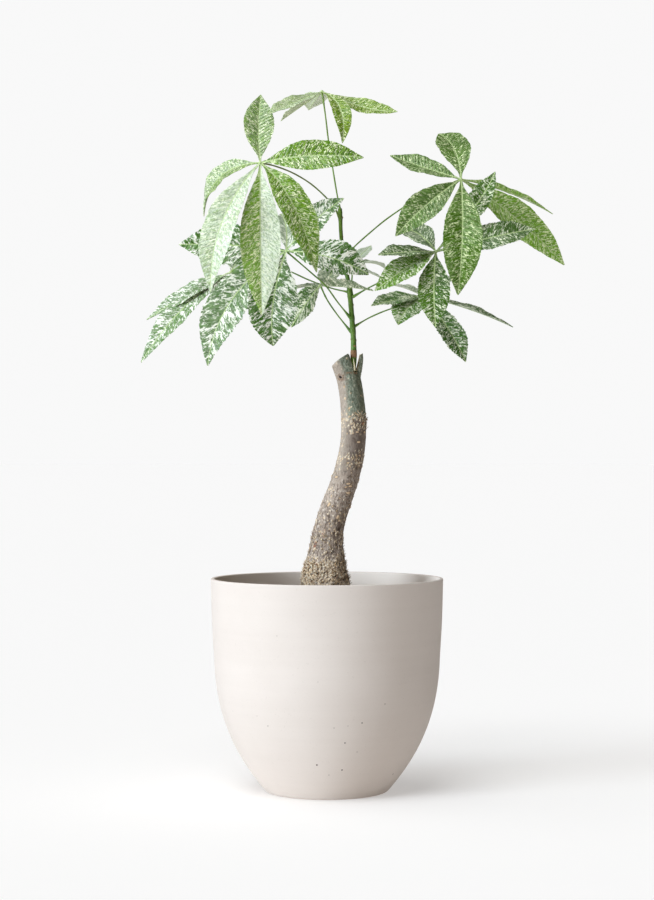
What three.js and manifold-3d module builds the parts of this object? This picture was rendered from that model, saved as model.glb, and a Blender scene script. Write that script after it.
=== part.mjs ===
// A potted money tree: a thick cutting trunk in a planter, with one green shoot and nine compound leaves.
// Millimetres, +Z up. The origin is the middle of the flat underside of the planter.

import * as THREE from 'three';
import { mergeVertices } from 'three/addons/utils/BufferGeometryUtils.js';
import Module from 'manifold-3d';

const wasm = await Module();
wasm.setup();

// ---- Driving dimensions -------------------------------------------------------------------------------------

const GAP = 0.3;                  // clearance between two pieces that touch

// Planter: an upright side above a belly that turns in to a flat foot.
const POT_HEIGHT = 256;
const POT_RIM_RADIUS = 140;
const POT_BELLY_RADIUS = 136;
const POT_BELLY_HEIGHT = 160;
const POT_FOOT_RADIUS = 73;
const POT_BULGE = [[106, 38], [134, 84]]; // [radius, height] that steer the belly's curve
const POT_SHOULDER = [138.6, 205];        // [radius, height] where the upright side bends a little
const POT_LIP = 1;                        // bevel on both edges of the rim
const POT_WALL = 6;
const POT_RIM_WALL = 4.6;
const POT_FLOOR = 9;
const POT_SIDES = 48;
const POT_CURVE = 7;              // steps along the planter's belly

// Soil: fills the planter to below the rim, a little higher round the trunk.
const SOIL_LEVEL = 226;
const SOIL_MOUND = 7;
const SOIL_MOUND_RADIUS = 50;
const SOIL_LUMP = 1.2;
const SOIL_SEED = 7;

// Trunk: [x, z, radius] up its middle, from the stump in the soil to past the saw cut.
const TRUNK_LINE = [
  [-3, 150, 9], [-3, 164, 20], [-3, 186, 27], [-2.5, 212, 30.5], [-2, 236, 30], [-1.7, 250, 28], [-2.3, 264, 25.5],
  [-1, 284, 22.3], [1.2, 308, 18.7], [8, 336, 17.2], [15.8, 357, 16.6], [23.2, 379, 16], [29.3, 404, 15.6],
  [31.6, 424, 15.1], [31.9, 448, 15], [30, 473, 14.6], [26.3, 495, 14.4], [20.5, 512, 14.2], [12, 534, 14.2],
];
const TRUNK_SIDES = 16;
const TRUNK_RINGS = 30;
const BARK_RIDGE = 0.035;         // share of the radius
const CUT_POINT = [16, 0, 517.5]; // the oblique saw cut passes here
const CUT_NORMAL = [-0.56, 0.18, 0.8];
// The split right of the stub, seen from the front as [x, z] corners.
const NOTCH = [[24.5, 532], [33.5, 505], [40, 500], [60, 532]];

// Spur: the thin piece of wood that stands right of the notch, with a torn top. [x, z, half width, half depth]
const SPUR_LINE = [
  [31, 478, 5, 8], [35.5, 495, 4.6, 8.5], [38.6, 508, 4, 8], [40.6, 520, 3, 6.5], [40.9, 526, 2.2, 5],
];

const SPUR_SIDES = 10;
const SPUR_BACK = 2;
const SPUR_SLANT = 1.5;

// Shoot: [x, y, z, radius] from the notch to the top bud.
const SHOOT_LINE = [
  [31.5, -3, 504, 3], [32, -1, 515, 3.5], [32.2, 0, 524, 3.7], [32, 0, 543, 3.2], [30.3, 0, 567, 3.1],
  [28.2, 0, 592, 3], [27, 0, 604, 2.8], [22.4, 0, 632, 2.5], [18, 0, 658, 2.3], [16, 0, 692, 2.4],
  [15.6, 0, 702, 2.4],
];

const SHOOT_SIDES = 8;
const SHOOT_RINGS = 20;

const STALK_RADIUS = 1.1;
const STALK_BASE_RADIUS = 2.1;    // the swollen foot of a stalk
const STALK_SWELLING = 9;         // its length
const STALK_END = 0.35;           // how much thicker it ends, as a share
const STALK_SIDES = 6;
const HUB_RADIUS = 2.3;           // where the leaflets of a leaf grow together

const BLADE_THICKNESS = 0.8;
const BLADE_FOLD = 14;            // degrees that each half rises from the midrib
const BLADE_WAVE = 0.035;         // height of the margin's waves, as a share of the blade's width
const BLADE_WAVES = 2.5;          // waves along one margin
const BLADE_LAG = 1.9;            // radians by which the other margin's waves lag
// Half width along a leaflet, as [share of the length, share of the full half width].
const BLADE_OUTLINE = [
  [0, 0.05], [0.07, 0.11], [0.17, 0.38], [0.3, 0.73], [0.44, 0.96], [0.57, 1], [0.71, 0.87], [0.83, 0.58],
  [0.93, 0.26], [1, 0.03],
];
const BLADE_ACROSS = [-1, 0, 1];

// Leaves. hub is where the leaflets meet, face the way a leaf's upper side looks, stalk its route from the shoot.
// A leaflet is [tip, middle of its midrib, width, face].
const LEAVES = {
  t: {
    hub: [-6, -5, 842], face: [-0.1, -0.5, 0.8], colour: '#8fb052',
    stalk: [[15.8, 0, 696], [15.2, 0, 704], [12.6, -3, 716], [7, -5, 749], [2, -6, 781], [-2, -6, 814]],
    blades: [
      [[-68, -80, 803], [-39, -50, 821], 29],
      [[-57, 60, 817], [-32, 35, 831], 24, [-0.3, -0.1, 0.9]],
      [[-23, 95, 836], [-14, 50, 842], 32, [0, 0.3, 0.9]],
      [[18, -60, 772], [16, -50, 813], 22, [0.2, -1, 0.1]],
      [[83, -55, 810], [44, -35, 818], 27, [0.1, -0.7, 0.6]],
    ],
  },
  a: {
    hub: [-77, -110, 742], face: [0, -0.85, 0.5], colour: '#7fa653',
    stalk: [[15.6, -1, 690], [8, -13, 703], [-2, -26, 713], [-20, -50, 726], [-43, -78, 736], [-64, -98, 741]],
    blades: [
      [[-78, -60, 829], [-80, -78, 787], 36, [0.1, -0.9, 0.3]],
      [[42, -125, 746], [-20, -125, 748], 36, [0, -0.95, 0.2]],
      [[-12, -120, 615], [-39, -135, 691], 40, [0.3, -0.9, 0.3]],
      [[-75, -118, 566], [-76, -140, 656], 46, [0.02, -1, 0.15]],
      [[-133, -135, 591], [-119, -150, 669], 40, [-0.3, -0.9, 0.3]],
      [[-145, -60, 686], [-125, -85, 728], 36, [-0.35, -0.65, 0.6]],
    ],
  },
  b: {
    hub: [161, -10, 736], face: [0, -0.75, 0.6], colour: '#76a055',
    stalk: [[21, 2, 641], [31, 4, 654], [52, 2, 673], [76, -2, 692], [118, -6, 718]],
    blades: [
      [[138, 75, 803], [156, 40, 779], 40, [0, -0.8, 0.5]],
      [[77, 30, 770], [118, 15, 753], 32, [0, -0.7, 0.7]],
      [[81, -55, 663], [117, -45, 700], 38, [-0.2, -0.95, 0.2]],
      [[153, -78, 592], [158, -84, 662], 46, [0.05, -1, 0.15]],
      [[288, 15, 635], [230, 10, 690], 42, [0.3, -0.95, 0.25]],
      [[280, 70, 703], [222, 45, 727], 30, [0.25, -0.35, 0.9]],
    ],
  },
  c: {
    hub: [-49, -15, 649], face: [0.05, -0.8, 0.6], colour: '#7f9f80',
    stalk: [[28, -3, 570], [13, -10, 588], [-2, -14, 608], [-19, -17, 623]],
    blades: [
      [[-179, 5, 659], [-114, -5, 657], 46, [-0.1, -1, 0.1]],
      [[-142, -30, 511], [-114, -35, 588], 46, [-0.3, -0.95, 0.1]],
      [[-63, -70, 533], [-63, -70, 585], 58, [0, -1, 0.15]],
      [[49, -60, 617], [4, -50, 638], 46, [0.1, -0.9, 0.4]],
      [[20, -44, 709], [-18, -26, 681], 38],
      [[-57, 60, 702], [-50, 30, 682], 34],
    ],
  },
  d: {
    hub: [-119, 60, 630], face: [-0.2, -0.7, 0.65], colour: '#87a878',
    stalk: [[27, 2, 601], [8, 26, 607], [-6, 43, 613], [-23, 50, 620], [-52, 56, 633], [-95, 61, 643]],
    blades: [
      [[-221, 40, 570], [-166, 40, 604], 30, [-0.3, -0.45, 0.8]],
      [[-226, 20, 517], [-176, 25, 582], 31, [-0.4, -0.85, 0.35]],
      [[-142, 120, 590], [-129, 100, 614], 30, [0, 0.5, 0.85]],
      [[-107, 150, 664], [-112, 105, 648], 30, [0.1, 0.1, 1]],
      [[-74, 110, 599], [-94, 95, 628], 30, [0.3, 0.2, 0.9]],
    ],
  },
  e: {
    hub: [-8, 15, 610], face: [0, -0.5, 0.85], colour: '#88a87c',
    stalk: [[29, 1, 553], [12, 9, 575], [0, 13, 593]],
    blades: [
      [[54, -75, 597], [21, -35, 605], 42, [0, 0.4, 0.9]],
      [[-46, 60, 608], [-27, 40, 611], 24, [-0.2, -0.05, 1]],
      [[-44, 60, 562], [-23, 35, 593], 32, [-0.3, -0.9, 0.3]],
      [[14, 105, 642], [4, 65, 626], 30, [0, -0.3, 0.95]],
    ],
  },
  f: {
    hub: [130, -30, 647], face: [0, -0.75, 0.6], colour: '#749a58',
    stalk: [[31, -2, 595], [45, -6, 603], [65, -11, 613], [99, -22, 631]],
    blades: [
      [[93, 25, 679], [112, 0, 670], 32, [-0.1, -0.75, 0.65]],
      [[60, -75, 639], [92, -60, 643], 28, [-0.1, -0.6, 0.75]],
      [[56, -75, 597], [92, -65, 623], 34, [-0.2, -0.85, 0.5]],
      [[128, -62, 555], [126, -58, 601], 38, [0, -1, 0.25]],
      [[201, -25, 743], [176, -24, 700], 30],
      [[249, -20, 675], [195, -25, 664], 36, [0.1, -0.85, 0.5]],
    ],
  },
  g: {
    hub: [118, 25, 598], face: [0, -0.6, 0.8], colour: '#6f9464',
    stalk: [[32, 1, 559], [52, 8, 571], [78, 15, 582], [104, 26, 588]],
    blades: [
      [[53, -20, 583], [86, 5, 592], 30, [-0.1, -0.55, 0.8]],
      [[85, -25, 560], [98, -5, 582], 36, [-0.1, -0.8, 0.6]],
      [[166, -20, 516], [146, -10, 555], 30, [0.3, -0.9, 0.2]],
      [[228, 40, 561], [175, 40, 583], 28, [0.2, -0.25, 0.95]],
      [[149, 110, 631], [138, 75, 617], 28, [0.1, -0.2, 0.9]],
      [[78, 95, 617], [97, 65, 611], 28, [0, 0.2, 1]],
    ],
  },
  h: {
    hub: [31, 70, 640], face: [0, -0.2, 1], colour: '#a9bfa0',
    stalk: [[30, 4, 597], [30, 20, 612], [31, 45, 628]],
    blades: [
      [[74, 110, 638], [56, 95, 645], 20],
      [[70, 75, 623], [51, 75, 632], 16],
      [[56, 135, 670], [44, 105, 656], 18],
      [[-6, 110, 640], [13, 95, 645], 22],
      [[23, 150, 651], [26, 110, 650], 22],
    ],
  },
};

// ---- Helpers ------------------------------------------------------------------------------------------------

const vec = (list) => new THREE.Vector3(...list);

/** A closed geometry with shared vertices, no needle faces, and its faces pointing out. */
function closed(geometry) {
  geometry.deleteAttribute('normal');
  geometry.deleteAttribute('uv');
  const merged = mergeVertices(geometry, 1e-3);
  const at = merged.getAttribute('position');
  const kept = [];
  let volume = 0;
  const [p, q, r] = [new THREE.Vector3(), new THREE.Vector3(), new THREE.Vector3()];
  for (let i = 0; i < merged.index.count; i += 3) {
    const corners = [0, 1, 2].map((k) => merged.index.getX(i + k));
    if (new Set(corners).size < 3) continue;
    kept.push(corners);
    volume += p.fromBufferAttribute(at, corners[0])
      .dot(q.fromBufferAttribute(at, corners[1]).cross(r.fromBufferAttribute(at, corners[2])));
  }
  merged.setIndex(kept.flatMap(([a, b, c]) => (volume < 0 ? [a, c, b] : [a, b, c])));
  return merged;
}

/** The solid of a closed geometry, for joining and cutting. */
function solid(geometry) {
  const { index, attributes } = closed(geometry);
  return new wasm.Manifold(new wasm.Mesh({
    numProp: 3,
    vertProperties: new Float32Array(attributes.position.array),
    triVerts: new Uint32Array(index.array),
  }));
}

/** The geometry of a solid. */
function shape(manifold) {
  const mesh = manifold.getMesh();
  const geometry = new THREE.BufferGeometry();
  geometry.setAttribute('position', new THREE.BufferAttribute(new Float32Array(mesh.vertProperties), 3));
  geometry.setIndex([...mesh.triVerts]);
  return geometry;
}

/** A body skinned over rings of points, with a middle point at each end. */
function skin(rings) {
  const sides = rings[0].length;
  const points = rings.flat();
  const faces = [];
  for (let i = 0; i + 1 < rings.length; i += 1) {
    for (let k = 0; k < sides; k += 1) {
      const [a, b] = [i * sides + k, i * sides + (k + 1) % sides];
      faces.push(a, b, b + sides, a, b + sides, a + sides);
    }
  }
  for (const [ring, turn] of [[0, 1], [rings.length - 1, 0]]) {
    const middle = rings[ring].reduce((sum, p) => sum.add(p), new THREE.Vector3()).divideScalar(sides);
    points.push(middle);
    for (let k = 0; k < sides; k += 1) {
      const [a, b] = [ring * sides + k, ring * sides + (k + 1) % sides];
      faces.push(points.length - 1, ...(turn ? [b, a] : [a, b]));
    }
  }
  const geometry = new THREE.BufferGeometry().setFromPoints(points);
  geometry.setIndex(faces);
  return geometry;
}

/** A number that runs in even steps through a list, at a share of the list's length. */
function between(values, share) {
  const along = share * (values.length - 1);
  const i = Math.min(Math.floor(along), values.length - 2);
  return values[i] + (values[i + 1] - values[i]) * (along - i);
}

/** A round body along a smooth line. scale(share, angle) changes its radius, and extra adds to it. */
function stem(points, radii, sides, rings, scale = () => 1, extra = 0) {
  const curve = new THREE.CatmullRomCurve3(points, false, 'centripetal');
  const side = new THREE.Vector3(1, 0, 0);
  return skin(Array.from({ length: rings }, (_, i) => {
    const share = i / (rings - 1);
    const [point, tangent, radius] = [curve.getPoint(share), curve.getTangent(share), between(radii, share)];
    side.sub(tangent.clone().multiplyScalar(side.dot(tangent))).normalize();
    const up = tangent.clone().cross(side);
    return Array.from({ length: sides }, (_unused, k) => {
      const angle = (2 * Math.PI * k) / sides;
      const reach = radius * scale(share, angle) + extra;
      return point.clone()
        .addScaledVector(side, reach * Math.cos(angle))
        .addScaledVector(up, reach * Math.sin(angle));
    });
  }));
}

/** A turned body from its outline, [radius, height]. */
function turned(outline, sides) {
  return new THREE.LatheGeometry(outline, sides).rotateX(Math.PI / 2);
}

/** A repeatable draw from 0 to 1. */
function draws(seed) {
  let state = seed;
  return () => {
    state = (state * 1664525 + 1013904223) % 4294967296;
    return state / 4294967296;
  };
}

// ---- Planter ------------------------------------------------------------------------------------------------

/** The foot and belly of the planter from its axis outwards, moved in by wall and up to floor. */
function potBelly(wall, floor) {
  const [[lowRadius, low], [highRadius, high]] = POT_BULGE;
  return new THREE.Path().moveTo(0, floor)
    .lineTo(POT_FOOT_RADIUS - wall, floor)
    .bezierCurveTo(lowRadius - wall, low + floor * 0.7, highRadius - wall, high + floor * 0.3,
      POT_BELLY_RADIUS - wall, POT_BELLY_HEIGHT);
}

/** The planter: one turned shell with a flat foot and a thin rim. */
function pot() {
  const inner = POT_RIM_RADIUS - POT_RIM_WALL;
  const outside = potBelly(0, 0)
    .lineTo(...POT_SHOULDER)
    .lineTo(POT_RIM_RADIUS, POT_HEIGHT - POT_LIP)
    .lineTo(POT_RIM_RADIUS - POT_LIP, POT_HEIGHT)
    .lineTo(inner + POT_LIP, POT_HEIGHT)
    .lineTo(inner, POT_HEIGHT - POT_LIP);
  const inside = potBelly(POT_WALL, POT_FLOOR);
  return turned([...outside.getPoints(POT_CURVE), ...inside.getPoints(POT_CURVE).reverse()], POT_SIDES);
}

// ---- Trunk --------------------------------------------------------------------------------------------------

/** Low ridges that wind up the bark and grow fainter towards the top. */
const bark = (share, angle) => 1 + BARK_RIDGE * (1 - 0.5 * share)
  * (0.6 * Math.sin(3 * angle + 9 * share) + 0.4 * Math.sin(7 * angle - 31 * share));

/** The whole trunk before its cuts, larger all round by extra. */
function trunkStem(extra) {
  const points = TRUNK_LINE.map(([x, z]) => vec([x, 0, z]));
  return stem(points, TRUNK_LINE.map(([, , r]) => r), TRUNK_SIDES, TRUNK_RINGS, bark, extra);
}

/** The spur: a flat splinter that tapers to its torn top, a little behind the shoot. */
function spur() {
  return skin(SPUR_LINE.map(([x, z, wide, deep]) => Array.from({ length: SPUR_SIDES }, (_, k) => {
    const angle = (2 * Math.PI * k) / SPUR_SIDES;
    return vec([x + wide * Math.cos(angle), SPUR_BACK + deep * Math.sin(angle), z + SPUR_SLANT * Math.cos(angle)]);
  })));
}

/** The wood that split off right of the stub. */
function notch() {
  const outline = new THREE.Shape(NOTCH.map(([x, z]) => new THREE.Vector2(x, z)));
  const depth = 80;
  return new THREE.ExtrudeGeometry(outline, { depth, bevelEnabled: false, steps: 1 })
    .rotateX(Math.PI / 2).translate(0, depth / 2, 0);
}

/** Everything above the oblique saw cut, as one block. */
function sawCut() {
  const size = 120;
  const block = new THREE.BoxGeometry(size, size, size).translate(0, 0, size / 2);
  const turn = new THREE.Quaternion().setFromUnitVectors(vec([0, 0, 1]), vec(CUT_NORMAL).normalize());
  return block.applyQuaternion(turn).translate(...CUT_POINT);
}

/** The green shoot, larger all round by extra. */
function shootStem(extra) {
  const points = SHOOT_LINE.map(([x, y, z]) => vec([x, y, z]));
  return stem(points, SHOOT_LINE.map(([, , , r]) => r), SHOOT_SIDES, SHOOT_RINGS, () => 1, extra);
}

/** The trunk: sawn off, split, with its spur, and a socket where the shoot grew out. */
function trunk() {
  return shape(solid(trunkStem(0)).subtract(solid(sawCut())).subtract(solid(notch()))
    .add(solid(spur())).subtract(solid(shootStem(GAP))));
}

// ---- Soil ---------------------------------------------------------------------------------------------------

/** The soil: fills the planter, lumpy on top, with a hole that the trunk stands in. */
function soil() {
  const inside = potBelly(POT_WALL + GAP, POT_FLOOR + GAP);
  const edge = POT_BELLY_RADIUS - POT_WALL - GAP;
  const top = [1, 0.75, 0.5, 0.3, 0].map((share) => new THREE.Vector2(
    edge * share, SOIL_LEVEL + SOIL_MOUND * Math.exp(-(((share * edge) / SOIL_MOUND_RADIUS) ** 2))));
  const body = turned([...inside.getPoints(POT_CURVE), ...top], POT_SIDES);
  const next = draws(SOIL_SEED);
  const at = body.getAttribute('position');
  const lumps = new Map();
  for (let i = 0; i < at.count; i += 1) {
    const [x, y, z] = [at.getX(i), at.getY(i), at.getZ(i)];
    const far = Math.hypot(x, y);
    if (z > SOIL_LEVEL - 1 && far > 1 && far < edge - 5) {
      const key = `${Math.round(x)} ${Math.round(y)}`;
      if (!lumps.has(key)) lumps.set(key, SOIL_LUMP * (next() - 0.5) * 2);
      at.setZ(i, z + lumps.get(key));
    }
  }
  return shape(solid(body).subtract(solid(trunkStem(GAP))));
}

// ---- Leaves -------------------------------------------------------------------------------------------------

/** A point on a leaflet's midrib, which runs through hub, middle and tip. */
function onRib(hub, middle, tip, t) {
  return new THREE.Vector3()
    .addScaledVector(hub, (1 - t) * (1 - 2 * t))
    .addScaledVector(middle, 4 * t * (1 - t))
    .addScaledVector(tip, t * (2 * t - 1));
}

/** One leaflet: a thin blade folded along its midrib, with waved margins and two faces split alike. */
function leaflet(hub, [tipAt, middleAt, width, face], leafFace, phase) {
  const [tip, middle] = [vec(tipAt), vec(middleAt)];
  const chord = tip.clone().sub(hub).normalize();
  const across = chord.clone().cross(vec(face ?? leafFace)).normalize();
  const rise = Math.tan(THREE.MathUtils.degToRad(BLADE_FOLD));
  const [upper, lower] = [[], []];
  for (const [t, share] of BLADE_OUTLINE) {
    const point = onRib(hub, middle, tip, t);
    const tangent = onRib(hub, middle, tip, t + 0.01).sub(onRib(hub, middle, tip, t - 0.01)).normalize();
    const side = across.clone().addScaledVector(tangent, -across.dot(tangent)).normalize();
    const normal = side.clone().cross(tangent);
    const half = Math.max((width / 2) * share, BLADE_THICKNESS * 0.6);
    const [front, back] = [[], []];
    for (const u of BLADE_ACROSS) {
      const turn = 2 * Math.PI * BLADE_WAVES * t + phase + (u > 0 ? BLADE_LAG : 0);
      const wave = BLADE_WAVE * width * share * Math.sin(turn);
      const lift = Math.abs(u) * (half * rise + wave);
      const at = point.clone().addScaledVector(side, half * u).addScaledVector(normal, lift);
      front.push(at.clone().addScaledVector(normal, BLADE_THICKNESS / 2));
      back.push(at.addScaledVector(normal, -BLADE_THICKNESS / 2));
    }
    upper.push(front);
    lower.push(back);
  }
  return bladeSkin(upper, lower);
}

/** Closes two faces of a blade into one body. Both are split along the same diagonals. */
function bladeSkin(upper, lower) {
  const count = upper[0].length;
  const points = [...upper.flat(), ...lower.flat()];
  const under = upper.length * count;
  const faces = [];
  const quad = (a, b, c, d) => faces.push(a, b, c, a, c, d);
  for (let i = 0; i + 1 < upper.length; i += 1) {
    for (let k = 0; k + 1 < count; k += 1) {
      const [a, b] = [i * count + k, i * count + k + 1];
      const [c, d] = [b + count, a + count];
      if (k < (count - 1) / 2) {
        faces.push(a, b, c, a, c, d, under + a, under + c, under + b, under + a, under + d, under + c);
      } else {
        faces.push(a, b, d, b, c, d, under + a, under + d, under + b, under + b, under + d, under + c);
      }
    }
    const [first, last] = [i * count, i * count + count - 1];
    quad(first, first + count, under + first + count, under + first);
    quad(last + count, last, under + last, under + last + count);
  }
  for (let k = 0; k + 1 < count; k += 1) {
    const end = (upper.length - 1) * count + k;
    quad(k + 1, k, under + k, under + k + 1);
    quad(end, end + 1, under + end + 1, under + end);
  }
  const geometry = new THREE.BufferGeometry().setFromPoints(points);
  geometry.setIndex(faces);
  return geometry;
}

/** All leaflets of a leaf, grown together at the hub. */
function blades({ hub, face, blades: list }) {
  const knob = solid(new THREE.IcosahedronGeometry(HUB_RADIUS, 1).translate(...hub));
  return shape(list.reduce(
    (body, blade, i) => body.add(solid(leaflet(vec(hub), blade, face, i * 1.7))), knob));
}

/** The stalk: swollen where it leaves the shoot, slim, and a little thicker again under the hub. */
function stalk({ hub, stalk: route }) {
  const points = [...route.map(vec), vec(hub)];
  const last = points[points.length - 2];
  points[points.length - 1] = vec(hub).lerp(last, (HUB_RADIUS + GAP) / vec(hub).distanceTo(last));
  const length = points.slice(1).reduce((sum, p, i) => sum + p.distanceTo(points[i]), 0);
  const scale = (share) => 1
    + (STALK_BASE_RADIUS / STALK_RADIUS - 1) * Math.exp(-(((share * length) / STALK_SWELLING) ** 2))
    + STALK_END * Math.exp(-((((1 - share) * length) / STALK_SWELLING) ** 2));
  const rings = Math.max(3 * route.length + 1, Math.round(length / 14));
  return shape(solid(stem(points, points.map(() => STALK_RADIUS), STALK_SIDES, rings, scale))
    .subtract(solid(shootStem(GAP))));
}

// ---- The plant ----------------------------------------------------------------------------------------------

/** A named piece with its own finish. */
function piece(name, geometry, color, roughness) {
  const mesh = new THREE.Mesh(geometry, new THREE.MeshStandardMaterial({ color, roughness, metalness: 0 }));
  mesh.name = name;
  return mesh;
}

const plant = new THREE.Group();
plant.add(
  piece('pot', closed(pot()), '#d9d2c8', 0.85),
  piece('soil', soil(), '#3f3128', 1),
  piece('trunk', trunk(), '#847464', 0.9),
  piece('shoot', closed(shootStem(0)), '#55793c', 0.55),
);
for (const [name, leaf] of Object.entries(LEAVES)) {
  plant.add(
    piece(`leaf_${name}_stalk`, stalk(leaf), '#6b8746', 0.55),
    piece(`leaf_${name}_blades`, blades(leaf), leaf.colour, 0.5),
  );
}

export default plant;
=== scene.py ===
# %% [markdown]
# # A potted money tree
# A thick cutting trunk stands in a matt planter, and its one green shoot carries nine compound leaves.
# The packed solids give every place and size. Here each of them is replaced by a finer piece on the same
# lines, because bark, soil and marbled leaves need far more points than a solid that is used for
# collisions. The solids are loaded first and never moved.

# %% The frame
import math

import bmesh
import bpy
import numpy as np
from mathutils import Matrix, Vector, noise


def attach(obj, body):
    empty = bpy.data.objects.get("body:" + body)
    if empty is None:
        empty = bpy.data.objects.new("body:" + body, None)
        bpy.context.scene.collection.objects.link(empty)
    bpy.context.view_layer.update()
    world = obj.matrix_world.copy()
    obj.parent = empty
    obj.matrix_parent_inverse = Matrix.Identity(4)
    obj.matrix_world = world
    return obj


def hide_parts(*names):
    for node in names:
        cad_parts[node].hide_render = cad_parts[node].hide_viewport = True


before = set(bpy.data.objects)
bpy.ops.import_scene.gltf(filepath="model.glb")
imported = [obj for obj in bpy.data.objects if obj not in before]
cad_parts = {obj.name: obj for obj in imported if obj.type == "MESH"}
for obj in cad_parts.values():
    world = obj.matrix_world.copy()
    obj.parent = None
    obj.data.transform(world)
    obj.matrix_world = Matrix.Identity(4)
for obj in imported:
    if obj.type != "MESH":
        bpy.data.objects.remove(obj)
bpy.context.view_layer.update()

MM = 0.001   # the tables below are in millimetres, and Blender's objects in metres

# %% [markdown]
# ## Camera
# The rim and the foot of the planter are ellipses. How flat each is gives the camera's height and
# distance: level, 0.41 m above the floor and 2.55 m away. A long lens keeps the plant's proportions, as
# in a product photograph.

# %% The camera
CAMERA_PLACE = (0, -2.55, 0.4105)   # metres
PHOTO_HEIGHT = 900      # pixels
FOCAL_LENGTH = 2113     # of the photograph, in its pixels
SENSOR = 36.0           # mm along the long side
scene = bpy.context.scene
camera = bpy.data.objects.new("camera", bpy.data.cameras.new("camera"))
camera.location = CAMERA_PLACE
camera.rotation_euler = (math.radians(90), 0, 0)
camera.data.sensor_width = SENSOR
camera.data.lens = FOCAL_LENGTH / PHOTO_HEIGHT * SENSOR
scene.collection.objects.link(camera)
scene.camera = camera
print("lens", round(camera.data.lens, 1), "mm")

# %% [markdown]
# ## Materials as sums
# A procedural material is a long sum of noises, masks and colours. Wiring each node by hand hides that
# sum, so a small class stands for one socket, and Python's own operators add the Math nodes. That way the
# clay's tone can be read as a formula.

# %% Sockets that can be added and multiplied
class Link:
    """An output socket. Sums of it with numbers and other links add Math nodes."""

    def __init__(self, finish, socket):
        self.finish, self.socket = finish, socket

    def math(self, operation, *values):
        return self.finish.node("ShaderNodeMath", {"operation": operation}, dict(enumerate(values)))

    def __add__(self, other):
        return self.math("ADD", self, other)

    def __sub__(self, other):
        return self.math("SUBTRACT", self, other)

    def __rsub__(self, other):
        return self.math("SUBTRACT", other, self)

    def __mul__(self, other):
        return self.math("MULTIPLY", self, other)

    def __truediv__(self, other):
        return self.math("DIVIDE", self, other)

    def __pow__(self, other):
        return self.math("POWER", self, other)

    def __abs__(self):
        return self.math("ABSOLUTE", self)

    __radd__ = __add__
    __rmul__ = __mul__

    def least(self, other):
        return self.math("MINIMUM", self, other)

    def most(self, other):
        return self.math("MAXIMUM", self, other)

    def sign(self):
        return self.math("SIGN", self)

    def wave(self):
        """A wave between 0 and 1, from an angle."""
        return self.math("SINE", self) * 0.5 + 0.5

    def step(self, low, high):
        """0 below low and 1 above high, with a soft step between, also where high is the lower one."""
        if high < low:
            return 1 - self.step(high, low)
        return self.finish.node("ShaderNodeMapRange", {"interpolation_type": "SMOOTHSTEP"},
                                {"Value": self, "From Min": low, "From Max": high})


print("a link has", len([name for name in vars(Link) if name != "__init__"]), "ways to be used")

# %% [markdown]
# ## Coats of colour
# A surface of the plant is painted as a maker would: a base colour, and thin coats over it, each where
# its mask lets it through. Colours and vectors have nodes of their own for that, because a Math node
# would turn them grey. Every node comes from `node`, and the other methods only fill in what they need
# often. A colour is written as a hex code, which `hue` turns into the linear light that a shader works
# with.

# %% Colours and the nodes of a finish
def hue(code):
    """The linear colour of a hex code, with its alpha."""
    shares = [int(code[i:i + 2], 16) / 255 for i in (1, 3, 5)]
    return (*[s / 12.92 if s < 0.04045 else ((s + 0.055) / 1.055) ** 2.4 for s in shares], 1)


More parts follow.
